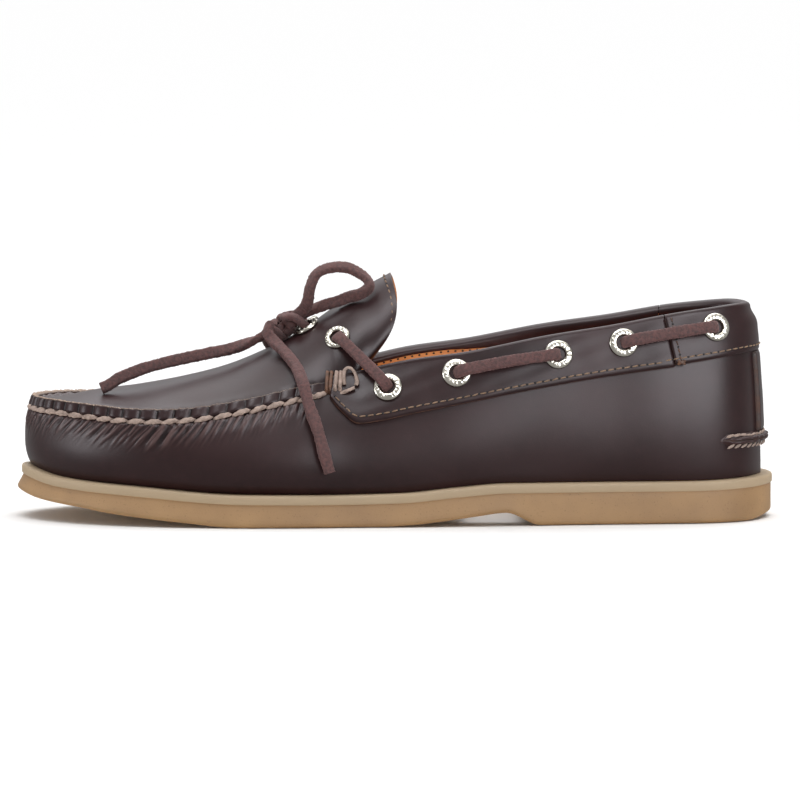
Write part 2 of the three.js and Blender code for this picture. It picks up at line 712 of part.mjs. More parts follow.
// The lace comes up out of the tongue's front eyelet and goes into the knot
function makeLead(spot, isOuter) {
  const side = isOuter ? -1 : 1;
  const up = spot.point.clone().addScaledVector(spot.normal, barLift + 0.4);
  const end = new THREE.Vector3(knotPlace[0] + 2.6, knotPlace[1] + side * 5.6, knotPlace[2] + 3.9);
  const out = up.clone().lerp(end, 0.5).add(new THREE.Vector3(0, side * 0.7, 0.4));
  return makeLace([spot.point.clone().addScaledVector(spot.normal, -1), up, out, end], 5);
}

function makeKnot() {
  const count = 6;
  const profile = Array.from({ length: count + 1 }, (unused, i) => {
    const angle = (Math.PI * i) / count;
    return new THREE.Vector2(knotRadius * Math.sin(angle), (-knotLength / 2) * Math.cos(angle));
  });
  profile[0].x = 0;
  profile[count].x = 0;
  const knot = new THREE.LatheGeometry(profile, eyeletSides);
  return knot.rotateZ(-Math.PI / 2).rotateY(-knotTilt).translate(...knotPlace);
}

function mesh(name, geometry, material) {
  const result = new THREE.Mesh(geometry, material);
  result.name = name;
  return result;
}

function sideParts(isOuter) {
  const side = isOuter ? 'outer' : 'inner';
  const collar = collarEyelets.map((place) => collarSpot(place, isOuter));
  const tongue = tongueEyelets.map((place) => tongueSpot(place, isOuter));
  const collarDepth = clearance + bandThickness + wallThickness;
  const parts = [
    mesh(`collar_band_${side}`, withHoles(makeCollarBand(isOuter), collar.slice(0, 4)), leather),
    ...collar.map((spot, i) => {
      return mesh(`eyelet_${side}_${i + 1}`, makeEyelet(spot, eyeletDiameter, collarDepth), nickel);
    }),
    ...tongue.map((spot, i) => {
      const ring = makeEyelet(spot, tongueEyeletDiameter, apronThickness);
      return mesh(`tongue_eyelet_${side}_${i + 1}`, ring, nickel);
    }),
    mesh(`lace_bar_${side}_1`, makeBar(tongue[0], collar[0]), suede),
    mesh(`lace_bar_${side}_2`, makeBar(collar[1], collar[2]), suede),
    mesh(`lace_bar_${side}_3`, makeBar(collar[3], collar[4]), suede),
    mesh(`lace_lead_${side}`, makeLead(tongue[1], isOuter), suede),
  ];
  return { parts, collar, tongue };
}

const outerSide = sideParts(true);
const innerSide = sideParts(false);
const collarSpots = [...outerSide.collar, ...innerSide.collar];
const tongueSpots = [...outerSide.tongue, ...innerSide.tongue];
const heelSpots = [outerSide.collar[4], innerSide.collar[4]];

const shoe = new THREE.Group();
shoe.name = 'boat_shoe';
shoe.add(
  mesh('outsole', makeOutsole(), rubber),
  mesh('insole', makeInsole(), lining),
  mesh('upper', withHoles(makeUpper(), collarSpots), leather),
  mesh('apron_tongue', withHoles(makeApron(), tongueSpots), leather),
  mesh('collar_band_heel', withHoles(makeHeelBand(), heelSpots), leather),
  mesh('back_strap', makeBackStrap(), leather),
  mesh('heel_seam', makeHeelSeam(), leather),
  ...outerSide.parts,
  ...innerSide.parts,
  mesh('lace_knot', makeKnot(), suede),
  mesh('lace_loop_back', makeLace(backLoopRoute, 12), suede),
  mesh('lace_loop_inner', makeLace(innerLoopRoute, 12), suede),
  mesh('lace_end_side', makeLace(sideEndRoute, 10), suede),
  mesh('lace_end_toe', makeLace(toeEndRoute, 8), suede),
);

export default shoe;
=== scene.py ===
# Left boat shoe in Blender 4.5: glossy hand-sewn leather, pale rubber sole, leather lace and bow.
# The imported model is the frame: toe to -X, heel to +X, outer side to -Y, floor at z = 0.
# Shapes are worked out in millimetres and made in metres.
import math

import bpy
import numpy as np
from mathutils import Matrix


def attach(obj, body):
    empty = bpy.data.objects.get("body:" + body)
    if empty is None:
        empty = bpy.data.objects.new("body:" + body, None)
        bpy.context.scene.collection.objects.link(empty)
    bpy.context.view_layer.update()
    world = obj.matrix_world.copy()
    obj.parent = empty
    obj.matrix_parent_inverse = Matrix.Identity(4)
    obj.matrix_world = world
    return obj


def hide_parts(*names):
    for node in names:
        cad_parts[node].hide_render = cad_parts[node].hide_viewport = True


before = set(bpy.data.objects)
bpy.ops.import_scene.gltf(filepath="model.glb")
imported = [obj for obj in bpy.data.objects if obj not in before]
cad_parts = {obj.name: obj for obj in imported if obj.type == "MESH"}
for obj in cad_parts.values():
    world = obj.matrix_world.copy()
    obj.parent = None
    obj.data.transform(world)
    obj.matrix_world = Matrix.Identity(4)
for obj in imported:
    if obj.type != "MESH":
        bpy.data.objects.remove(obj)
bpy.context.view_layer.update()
mm = 0.001

# Camera: nearly flat view of the outer side from a long way off
cameraLook = {"distance": 3.0, "target": (0.00237, 0.0, 0.04543), "elevation": 5.0, "frameWidth": 0.3162}


def makeCamera(look):
    camera = bpy.data.cameras.new("photoCamera")
    camera.sensor_width = 36
    camera.lens = 36 * look["distance"] / look["frameWidth"]
    camera.clip_start = 0.1
    camera.clip_end = 60
    holder = bpy.data.objects.new("photoCamera", camera)
    bpy.context.scene.collection.objects.link(holder)
    angle = math.radians(look["elevation"])
    x, y, z = look["target"]
    holder.location = (x, y - look["distance"] * math.cos(angle), z + look["distance"] * math.sin(angle))
    holder.rotation_euler = (math.pi / 2 - angle, 0, 0)
    bpy.context.scene.camera = holder


makeCamera(cameraLook)
print("camera made")

# The last: its sizes and tables
last = {
    "soleLength": 298, "ballWidth": 107, "heelWidth": 74, "toeSpring": 10.2, "archHeight": 5,
    "forefootEdge": 12.4, "heelEdge": 16.3, "toeEdge": 20.4, "toeFlare": 2.2, "soleMargin": 4,
    "toeHeight": 47.3, "collarHeight": 85.4, "tongueHeight": 96.1, "wall": 2.0, "apron": 1.8,
    "apronDrop": 2.2, "seamHeight": 4.7, "clearance": 0.3, "band": 1.6, "tongueBow": 0.02,
    "foldDrop": [(-20, 30, 90, 135), (0, 0.9, 1.6, 2.3)],
}
# sole, outer, inner, top, topOuter, topInner, rise, belly for each section from heel to toe
sectionRows = np.array([
    (0.5, 0, 0, 0.473, 0, 0, 0.995, 0),
    (0.49, 0.19, 0.19, 0.466, 0.113, 0.113, 1, 0.006),
    (0.464, 0.35, 0.35, 0.448, 0.2, 0.2, 0.998, 0.016),
    (0.42, 0.452, 0.446, 0.416, 0.277, 0.27, 0.965, 0.023),
    (0.362, 0.493, 0.48, 0.359, 0.35, 0.342, 0.898, 0.027),
    (0.286, 0.504, 0.468, 0.285, 0.376, 0.362, 0.785, 0.024),
    (0.2, 0.497, 0.43, 0.196, 0.376, 0.363, 0.67, 0.024),
    (0.107, 0.483, 0.395, 0.1, 0.357, 0.344, 0.512, 0.028),
    (0.018, 0.472, 0.393, 0.02, 0.329, 0.319, 0.412, 0.032),
    (-0.06, 0.479, 0.42, -0.052, 0.309, 0.309, 0.272, 0.037),
    (-0.134, 0.498, 0.467, -0.12, 0.346, 0.341, 0.168, 0.045),
    (-0.208, 0.499, 0.495, -0.195, 0.388, 0.386, 0.044, 0.046),
    (-0.282, 0.474, 0.489, -0.268, 0.398, 0.406, -0.042, 0.042),
    (-0.349, 0.425, 0.453, -0.337, 0.37, 0.392, -0.055, 0.034),
    (-0.409, 0.346, 0.383, -0.394, 0.296, 0.332, -0.03, 0.029),
    (-0.456, 0.238, 0.28, -0.438, 0.202, 0.24, -0.008, 0.026),
    (-0.4865, 0.117, 0.164, -0.466, 0.098, 0.144, 0, 0.03),
    (-0.5, -0.023, 0.023, -0.477, -0.023, 0.023, 0, 0.03),
])
# section, centre, rise, round of the apron, then centre, rise, edge, half, edgeRise, round of the tongue
apronRows = np.array([
    (17, -0.4692, -0.045, 0), (16, -0.461, -0.035, 0), (15, -0.438, -0.008, 0), (14, -0.395, 0.042, 0),
    (13, -0.338, 0.089, 0.02), (12, -0.271, 0.172, 0.05), (11, -0.202, 0.29, 0.1), (10, -0.136, 0.492, 0.3),
    (9.3, -0.085, 0.698, 0.65),
])
tongueRows = np.array([(-0.044, 0.872, -0.041, 0.262, 0.262, 0.9), (-0.0054, 1, -0.03, 0.224, 0.322, 1)])
spring, arch = last["toeSpring"], last["archHeight"]
bottomRows = np.array([
    (-0.5, spring), (-0.47, 0.8 * spring), (-0.414, 0.61 * spring), (-0.374, 0.44 * spring),
    (-0.335, 0.32 * spring), (-0.268, 0.14 * spring), (-0.21, 0), (-0.02, 0), (0.027, 0.14 * arch),
    (0.067, 0.4 * arch), (0.107, 0.72 * arch), (0.148, arch), (0.193, 0), (0.468, 0),
    (0.5, 0.36 * arch),
])
topRows = np.array([
    (-0.5, last["toeEdge"]), (-0.45, 0.85 * last["toeEdge"]), (-0.335, 0.74 * last["toeEdge"]),
    (-0.2, 1.016 * last["forefootEdge"]), (-0.08, last["forefootEdge"]),
    (0.01, 1.04 * last["forefootEdge"]), (0.087, 0.92 * last["heelEdge"]), (0.15, last["heelEdge"]),
    (0.38, last["heelEdge"]), (0.5, 1.05 * last["heelEdge"]),
])
bandLow = np.array([
    (-0.09, 0.6), (-0.068, 0.52), (-0.044, 0.467), (-0.017, 0.479), (0.023, 0.51), (0.087, 0.554),
    (0.168, 0.609), (0.272, 0.67), (0.38, 0.72),
])
heelBandLow = np.array([(0.34, 0.708), (0.42, 0.747), (0.461, 0.767), (0.49, 0.774)])
toeSection = 17
ringCount = 34


def smooth(value):
    t = np.clip(value, 0, 1)
    return t * t * (3 - 2 * t)


def hump(value, width):
    return np.exp(-((value / width) ** 2))


def widthAt(share):
    return last["ballWidth"] + (last["heelWidth"] - last["ballWidth"]) * smooth((share + 0.05) / 0.41)


def makeRing():
    rows = np.vstack([sectionRows, sectionRows[-2:0:-1]])
    isOuter = np.arange(ringCount) <= toeSection
    side = np.where(isOuter, -1, 1)
    y = side * np.where(isOuter, rows[:, 1], rows[:, 2]) * widthAt(rows[:, 0])
    topY = side * np.where(isOuter, rows[:, 4], rows[:, 5]) * widthAt(rows[:, 3])
    topZ = last["toeHeight"] + (last["collarHeight"] - last["toeHeight"]) * rows[:, 6]
    length = last["soleLength"]
    # the turned-over leather makes up the rest of the collar's height
    topZ = topZ - np.interp(rows[:, 3] * length, *last["foldDrop"])
    x, topX = rows[:, 0] * length, rows[:, 3] * length
    return np.column_stack([x, y, topX, topY, topZ, rows[:, 7] * last["ballWidth"]])


ringTable = makeRing()


def cubicBetween(a, b, c, d, t):
    return b + 0.5 * t * (c - a + t * (2 * a - 5 * b + 4 * c - d + t * (3 * (b - c) + d - a)))


# Catmull-Rom round the ring: x, y, top x, top y, top z and belly at section q
def onRing(q):
    i = np.floor(q).astype(int)
    t = (q - i)[..., None]
    a, b, c, d = (ringTable[(i + k) % ringCount] for k in (-1, 0, 1, 2))
    return cubicBetween(a, b, c, d, t)


# Monotone cubic through a table of (along, height)
def tableHeight(rows, share):
    x, y = rows[:, 0], rows[:, 1]
    slope = np.diff(y) / np.diff(x)
    before, after = slope[:-1], slope[1:]
    same = before * after > 0
    inner = np.where(same, 2 * before * after / np.where(same, before + after, 1), 0)
    tangent = np.concatenate([slope[:1], inner, slope[-1:]])
    at = np.clip(share, x[0], x[-1])
    i = np.clip(np.searchsorted(x, at, side="right") - 1, 0, len(x) - 2)
    width = x[i + 1] - x[i]
    t = (at - x[i]) / width
    value = (2 * t**3 - 3 * t**2 + 1) * y[i] + (t**3 - 2 * t**2 + t) * width * tangent[i]
    return value + (3 * t**2 - 2 * t**3) * y[i + 1] + (t**3 - t**2) * width * tangent[i + 1]


def soleBottom(x):
    return tableHeight(bottomRows, x / last["soleLength"])


def soleTop(x):
    return tableHeight(topRows, x / last["soleLength"])


def outward(q):
    step = onRing(q + 0.01)[..., :2] - onRing(q - 0.01)[..., :2]
    normal = np.stack([-step[..., 1], step[..., 0]], -1)
    return normal / np.linalg.norm(normal, axis=-1, keepdims=True)


def flareAt(x):
    return last["toeFlare"] * np.clip(0.5 - x / last["soleLength"], 0, 1)


def soleEdge(q, inset):
    return onRing(q)[..., :2] - outward(q) * np.asarray(inset)[..., None]


def featherPoint(q, inset=0):
    return soleEdge(q, flareAt(onRing(q)[..., 0]) + last["soleMargin"] + inset)


def wallBottom(q):
    return soleTop(featherPoint(q)[..., 0]) + last["clearance"]


# Outer face of the upper's wall: v is 0 at the sole and 1 at the top edge.
# xy = base + (top - base) v^1.6 + outward belly sin(pi v^0.75), z runs evenly
def wallPoint(q, v):
    q, v = np.broadcast_arrays(np.asarray(q, float), np.asarray(v, float))
    ring = onRing(q)
    lean = np.maximum(v, 0) ** 1.6
    swell = ring[..., 5] * np.sin(math.pi * np.maximum(v, 0) ** 0.75)
    base = featherPoint(q)
    xy = base + (ring[..., 2:4] - base) * lean[..., None] + outward(q) * swell[..., None]
    low = wallBottom(q)
    return np.concatenate([xy, (low + (ring[..., 4] - low) * v)[..., None]], -1)


def unit(vectors):
    return vectors / np.linalg.norm(vectors, axis=-1, keepdims=True)


def wallNormal(q, v):
    low = np.clip(v, 0.01, 0.99)
    along = wallPoint(q + 0.01, low) - wallPoint(q - 0.01, low)
    up = wallPoint(q, low + 0.01) - wallPoint(q, low - 0.01)
    return unit(np.cross(up, along))


# The collar rolls in over the heel: most at the back, within a few mm of the top
def heelRoll(q, v):
    turn = (np.asarray(q, float) + ringCount / 2) % ringCount - ringCount / 2
    down = (1 - v) * (topHeight(q) - wallBottom(q))
    return 2.2 * hump(turn, 2.0) * (1 - smooth(down / 8)) ** 1.5


def wallOffset(q, v, offset):
    return wallPoint(q, v) + wallNormal(q, v) * (np.asarray(offset) - heelRoll(q, v))[..., None]


def topHeight(q):
    return onRing(q)[..., 4]


def heightShare(q, z):
    low = wallBottom(q)
    return (z - low) / (topHeight(q) - low)


# The section on one side whose wall, at the height that heightAt gives, lies at this x
def sectionAt(x, heightAt, low=0.5, high=16.9, isInner=False):
    x = np.asarray(x, float)
    low, high = np.full(x.shape, low), np.full(x.shape, high)
    for _ in range(40):
        middle = (low + high) / 2
        q = ringCount - middle if isInner else middle
        isBehind = wallPoint(q, heightShare(q, heightAt(q)))[..., 0] > x
        low, high = np.where(isBehind, middle, low), np.where(isBehind, high, middle)
    return ringCount - low if isInner else low


def splineAt(values, u):
    count = len(values)
    i = np.clip(np.floor(u).astype(int), 0, count - 2)
    a, b, c, d = (values[np.clip(i + k, 0, count - 1)] for k in (-1, 0, 1, 2))
    t = (u - i)[..., None]
    return cubicBetween(a, b, c, d, t)


# Where the apron is sewn: inside the wall's top edge and a little lower
def sewnEdge(q):
    edge = wallOffset(q, 1, -last["wall"] - last["clearance"])
    edge[..., 2] -= last["apronDrop"]
    return edge


def makeApronTable():
    length, ball = last["soleLength"], last["ballWidth"]
    reach = last["tongueHeight"] - last["toeHeight"]
    freeX, freeY = tongueRows[:, 2] * length, tongueRows[:, 3] * ball
    freeZ = last["toeHeight"] + reach * tongueRows[:, 4]
    outer = np.vstack([sewnEdge(apronRows[:, 0]), np.column_stack([freeX, -freeY, freeZ])])
    inner = np.vstack([sewnEdge(ringCount - apronRows[:, 0]), np.column_stack([freeX, freeY, freeZ])])
    centre = np.concatenate([apronRows[:, 1], tongueRows[:, 0]]) * length
    rise = last["toeHeight"] + reach * np.concatenate([apronRows[:, 2], tongueRows[:, 1]])
    roundness = np.concatenate([apronRows[:, 3], tongueRows[:, 5]])
    return np.column_stack([outer, inner, centre, rise, roundness])


apronTable = makeApronTable()
apronLast = len(apronTable) - 1
sewnLast = len(apronRows) - 1


# Outer face of the apron and tongue: u runs from the toe to the tongue's tip, w from -1 (outer) to 1
def apronPoint(u, w):
    u, w = np.broadcast_arrays(np.asarray(u, float), np.asarray(w, float))
    row = splineAt(apronTable, u)
    isOuter = (w < 0)[..., None]
    edge = np.where(isOuter, row[..., 0:3], row[..., 3:6])
    section = splineAt(apronRows[:, :1], np.clip(u, 0, sewnLast))[..., 0]
    sewnQ = np.where(w < 0, section, ringCount - section)
    edge = np.where((u <= sewnLast)[..., None], sewnEdge(sewnQ), edge)
    middleY = 0.5 * (row[..., 1] + row[..., 4])
    s, roundness = np.abs(w), row[..., 8]
    across = s + (np.sin(s * math.pi / 2) - s) * roundness
    drop = s * s + (1 - np.cos(s * math.pi / 2) - s * s) * roundness
    bow = last["tongueBow"] * last["soleLength"] * np.sin(math.pi * drop) * smooth((u - sewnLast) / 2)
    return np.stack([
        row[..., 6] + (edge[..., 0] - row[..., 6]) * drop + bow,
        middleY + (edge[..., 1] - middleY) * across,
        row[..., 7] + (edge[..., 2] - row[..., 7]) * drop,
    ], -1)


def apronNormal(u, w):
    u, w = np.broadcast_arrays(np.asarray(u, float), np.asarray(w, float))
    at, c = np.clip(u, 0.02, apronLast - 0.02), np.clip(w, -0.98, 0.98)
    along = apronPoint(at + 0.02, c) - apronPoint(at - 0.02, c)
    across = apronPoint(at, c + 0.02) - apronPoint(at, c - 0.02)
    return unit(np.cross(along, across))


# Meshes
def addObject(name, mesh, material):
    piece = bpy.data.objects.new(name, mesh)
    bpy.context.scene.collection.objects.link(piece)
    for one in material if isinstance(material, (list, tuple)) else [material]:
        mesh.materials.append(one)
    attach(piece, "root")
    return piece


def addMesh(name, points, faces, material, masks=None, zones=None):
    mesh = bpy.data.meshes.new(name)
    faceLists = faces.tolist() if hasattr(faces, "tolist") else faces
    mesh.from_pydata((np.asarray(points) * mm).tolist(), [], faceLists)
    mesh.polygons.foreach_set("use_smooth", np.ones(len(mesh.polygons), bool))
    if zones is not None:
        mesh.polygons.foreach_set("material_index", np.asarray(zones, np.int32))
    for label, values in (masks or {}).items():
        attribute = mesh.attributes.new(label, "FLOAT", "POINT")
        attribute.data.foreach_set("value", np.asarray(values, np.float32).ravel())
    mesh.validate()
    return addObject(name, mesh, material)


# Quads of a grid of rows x columns points, flat index = row * columns + column
def gridFaces(rows, columns, closedRows=False, closedColumns=False, start=0, flip=False):
    i = np.arange(rows if closedRows else rows - 1)
    j = np.arange(columns if closedColumns else columns - 1)
    i, j = (x.ravel() for x in np.meshgrid(i, j, indexing="ij"))
    i2, j2 = (i + 1) % rows, (j + 1) % columns
    quads = np.column_stack([i * columns + j, i * columns + j2, i2 * columns + j2, i2 * columns + j]) + start
    return quads[:, ::-1] if flip else quads


rng = np.random.default_rng(4090)


# Smooth random field over two parameters: a sum of waves with seeded directions and phases
def waves(a, b, pitch, count=7, seed=1):
    draw = np.random.default_rng(seed)
    angle, phase = draw.uniform(0, 2 * math.pi, (2, count))
    size = draw.uniform(0.7, 1.5, count) * 2 * math.pi / pitch
    total = np.zeros(np.broadcast(a, b).shape)
    for k in range(count):
        total += np.sin(size[k] * (a * math.cos(angle[k]) + b * math.sin(angle[k])) + phase[k])
    return total / math.sqrt(count)


# A smooth line through given points, resampled at an even step
def smoothRoute(points, step):
    p = np.asarray(points, float)
    padded = np.vstack([2 * p[0] - p[1], p, 2 * p[-1] - p[-2]])
    t = np.linspace(0, len(p) - 1, 40 * (len(p) - 1) + 1)
    i = np.minimum(t.astype(int), len(p) - 2)
    a, b, c, d = (padded[i + k] for k in range(4))
    curve = cubicBetween(a, b, c, d, (t - i)[:, None])
    run = np.concatenate([[0], np.cumsum(np.linalg.norm(np.diff(curve[:, :3], axis=0), axis=1))])
    at = np.linspace(0, run[-1], max(3, round(run[-1] / step) + 1))
    return np.column_stack([np.interp(at, run, curve[:, k]) for k in range(curve.shape[1])])


# Lace: a thong of oblong section swept along a route; face is the way its flat side looks
def thong(route, face, width, thickness, step=0.45, around=20, fuzz=0.1, seed=3):
    line = smoothRoute(np.column_stack([route, face]), step)
    centre, hint = line[:, :3], line[:, 3:]
    tangent = unit(np.gradient(centre, axis=0))
    flat = unit(hint - tangent * np.sum(hint * tangent, 1, keepdims=True))
    side = np.cross(tangent, flat)
    angle = np.linspace(0, 2 * math.pi, around, endpoint=False)
    c, s = np.cos(angle), np.sin(angle)
    shapeX = np.sign(c) * np.abs(c) ** 0.5 * width / 2
    shapeY = np.sign(s) * np.abs(s) ** 0.6 * thickness / 2
    run = np.arange(len(centre)) * step
    size = 1 + 0.035 * waves(run, 0 * run, 16, seed=seed)
    x = size[:, None] * shapeX[None, :]
    y = size[:, None] * shapeY[None, :]
    draw = np.random.default_rng(seed)
    lumps = waves(run[:, None], angle[None, :] * 1.6, 3.5, seed=seed + 5)
    rough = fuzz * draw.normal(0, 0.6, (len(centre), around)) + 0.3 * fuzz * lumps
    length = np.hypot(x, y)
    x, y = x * (1 + rough / length), y * (1 + rough / length)
    points = centre[:, None, :] + side[:, None, :] * x[..., None] + flat[:, None, :] * y[..., None]
    return centre, points


def addThong(name, parts, material):
    points, faces, start = [], [], 0
    for grid in parts:
        rows, columns = grid.shape[:2]
        points.append(grid.reshape(-1, 3))
        faces += gridFaces(rows, columns, closedColumns=True, start=start, flip=True).tolist()
        faces.append(list(range(start, start + columns)))
        faces.append(list(range(start + (rows - 1) * columns, start + rows * columns))[::-1])
        start += rows * columns
    return addMesh(name, np.vstack(points), faces, material)


# Copies one small closed shape to many places in a single mesh: axes are three unit vectors a place
def scatter(name, template, faces, places, axes, material):
    points = places[:, None, :] + np.einsum("kij,nj->kni", axes, template)
    count = len(template)
    quads = (np.asarray(faces)[None] + (np.arange(len(places)) * count)[:, None, None]).reshape(-1, 4)
    return addMesh(name, points.reshape(-1, 3), quads, material)


# A strand of thread: a lens-shaped body with a two-ply twist, length along x, up along z
def strandShape(length, width, height, rings=17, around=12, twist=2.0, ply=0.12):
    t = np.linspace(-1, 1, rings)[:, None]
    angle = np.linspace(0, 2 * math.pi, around, endpoint=False)[None, :]
    fat = np.maximum(1 - np.abs(t) ** 2.1, 0) ** 0.62 + 0.02
    plies = 1 + ply * np.cos(2 * (angle + twist * math.pi * t))
    x = 0.5 * length * t + 0 * angle
    y = 0.5 * width * fat * plies * np.cos(angle)
    z = 0.5 * height * fat * plies * np.sin(angle) - 0.35 * height * t**2
    points = np.stack([x, y, z], -1).reshape(-1, 3)
    return points, gridFaces(rings, around, closedColumns=True)


# Node groups and materials
def makeGroup(name, inputs, outputs):
    group = bpy.data.node_groups.new(name, "ShaderNodeTree")
    for label, kind, value in inputs:
        socket = group.interface.new_socket(name=label, in_out="INPUT", socket_type=kind)
        socket.default_value = value
    for label, kind in outputs:
        group.interface.new_socket(name=label, in_out="OUTPUT", socket_type=kind)
    return group, group.nodes.new("NodeGroupInput"), group.nodes.new("NodeGroupOutput")


def addNode(tree, kind, **values):
    node = tree.nodes.new(kind)
    for key, value in values.items():
        if key in ("data_type", "operation", "attribute_name"):
            setattr(node, key, value)
        else:
            node.inputs[key.replace("_", " ")].default_value = value
    return node


def objectPlace(tree):
    return addNode(tree, "ShaderNodeTexCoord").outputs["Object"]


floatSocket, colourSocket, vectorSocket = "NodeSocketFloat", "NodeSocketColor", "NodeSocketVector"


# Two colours mixed by soft cloudy noise at a chosen scale
def makeToneGroup():
    group, source, sink = makeGroup(
        "softTone",
        [("Dark", colourSocket, (0, 0, 0, 1)), ("Light", colourSocket, (1, 1, 1, 1)),
         ("Scale", floatSocket, 40.0), ("Detail", floatSocket, 3.0), ("Low", floatSocket, 0.3),
         ("High", floatSocket, 0.7)],
        [("Color", colourSocket), ("Value", floatSocket)],
    )
    noise = addNode(group, "ShaderNodeTexNoise")
    spread = addNode(group, "ShaderNodeMapRange")
    mix = addNode(group, "ShaderNodeMix", data_type="RGBA")
    link = group.links.new
    link(objectPlace(group), noise.inputs["Vector"])
    link(source.outputs["Scale"], noise.inputs["Scale"])
    link(source.outputs["Detail"], noise.inputs["Detail"])
    link(noise.outputs["Fac"], spread.inputs["Value"])
    link(source.outputs["Low"], spread.inputs["From Min"])
    link(source.outputs["High"], spread.inputs["From Max"])
    link(spread.outputs["Result"], mix.inputs[0])
    link(source.outputs["Dark"], mix.inputs[6])
    link(source.outputs["Light"], mix.inputs[7])
    link(mix.outputs[2], sink.inputs["Color"])
    link(spread.outputs["Result"], sink.inputs["Value"])
    return group


# Fine grain: small cells and noise together as one bump
def makeGrainGroup():
    group, source, sink = makeGroup(
        "fineGrain",
        [("Cells", floatSocket, 1500.0), ("Cloud", floatSocket, 400.0), ("Depth", floatSocket, 0.00005),
         ("Strength", floatSocket, 0.5)],
        [("Normal", vectorSocket), ("Value", floatSocket)],
    )
    cells = addNode(group, "ShaderNodeTexVoronoi")
    cloud = addNode(group, "ShaderNodeTexNoise", Detail=4.0)
    total = addNode(group, "ShaderNodeMath", operation="ADD")
    bump = addNode(group, "ShaderNodeBump")
    link = group.links.new
    place = objectPlace(group)
    link(place, cells.inputs["Vector"])
    link(place, cloud.inputs["Vector"])
    link(source.outputs["Cells"], cells.inputs["Scale"])
    link(source.outputs["Cloud"], cloud.inputs["Scale"])
    link(cells.outputs["Distance"], total.inputs[0])
    link(cloud.outputs["Fac"], total.inputs[1])
    link(total.outputs[0], bump.inputs["Height"])
    link(source.outputs["Depth"], bump.inputs["Distance"])
    link(source.outputs["Strength"], bump.inputs["Strength"])
    link(bump.outputs["Normal"], sink.inputs["Normal"])
    link(total.outputs[0], sink.inputs["Value"])
    return group


# A mask from the mesh broken up by noise: for the paler pulled leather, which also paints the crease highlights, and
# for raw cut edges
def makeBrokenMaskGroup():
    group, source, sink = makeGroup(
        "brokenMask",
        [("Mask", floatSocket, 0.0), ("Scale", floatSocket, 300.0), ("Break", floatSocket, 0.5)],
        [("Mask", floatSocket)],
    )
    noise = addNode(group, "ShaderNodeTexNoise", Detail=5.0)
    centred = addNode(group, "ShaderNodeMath", operation="SUBTRACT")
    scaled = addNode(group, "ShaderNodeMath", operation="MULTIPLY")
    cut = addNode(group, "ShaderNodeMath", operation="MULTIPLY")
    total = addNode(group, "ShaderNodeMath", operation="ADD")
    total.use_clamp = True
    centred.inputs[1].default_value = 0.5
    link = group.links.new
    link(objectPlace(group), noise.inputs["Vector"])
    link(source.outputs["Scale"], noise.inputs["Scale"])
    link(noise.outputs["Fac"], centred.inputs[0])
    link(centred.outputs[0], scaled.inputs[0])
    link(source.outputs["Break"], scaled.inputs[1])
    link(scaled.outputs[0], cut.inputs[0])
    link(source.outputs["Mask"], cut.inputs[1])
    link(cut.outputs[0], total.inputs[0])
    link(source.outputs["Mask"], total.inputs[1])
    link(total.outputs[0], sink.inputs["Mask"])
    return group


toneGroup, grainGroup, brokenMaskGroup = makeToneGroup(), makeGrainGroup(), makeBrokenMaskGroup()


def useGroup(tree, group, **values):
    node = tree.nodes.new("ShaderNodeGroup")
    node.node_tree = group
    for key, value in values.items():
        node.inputs[key].default_value = value
    return node


def newMaterial(name, **shader):
    material = bpy.data.materials.new(name)
    material.use_nodes = True
    tree = material.node_tree
    surface = tree.nodes["Principled BSDF"]
    for key, value in shader.items():
        surface.inputs[key.replace("_", " ")].default_value = value
    return material, tree, surface


def mixColour(tree, mask, first, second):
    mix = addNode(tree, "ShaderNodeMix", data_type="RGBA")
    tree.links.new(mask, mix.inputs[0])
    for value, socket in ((first, mix.inputs[6]), (second, mix.inputs[7])):
        if isinstance(value, tuple):
            socket.default_value = value
        else:
            tree.links.new(value, socket)
    return mix.outputs[2]


def rangeOf(tree, value, low, high):
    node = addNode(tree, "ShaderNodeMapRange")
    tree.links.new(value, node.inputs["Value"])
    node.inputs["To Min"].default_value = low
    node.inputs["To Max"].default_value = high
    return node.outputs["Result"]


def maskNamed(tree, name):
    return addNode(tree, "ShaderNodeAttribute", attribute_name=name).outputs["Fac"]


leatherLook = {
    "dark": (0.017, 0.005, 0.0054, 1), "light": (0.034, 0.0108, 0.0114, 1),
    # pulled is the paler pulled leather and also paints the crease highlights; deep is painted shade for folds and
    # grooves
    "pulledWithHighlight": (0.12, 0.07, 0.066, 1), "deep": (0.003, 0.0012, 0.0012, 1), "raw": (0.4, 0.29, 0.22, 1),
    "gloss": 0.27, "roughness": (0.33, 0.42), "cutRoughness": 0.85,
}
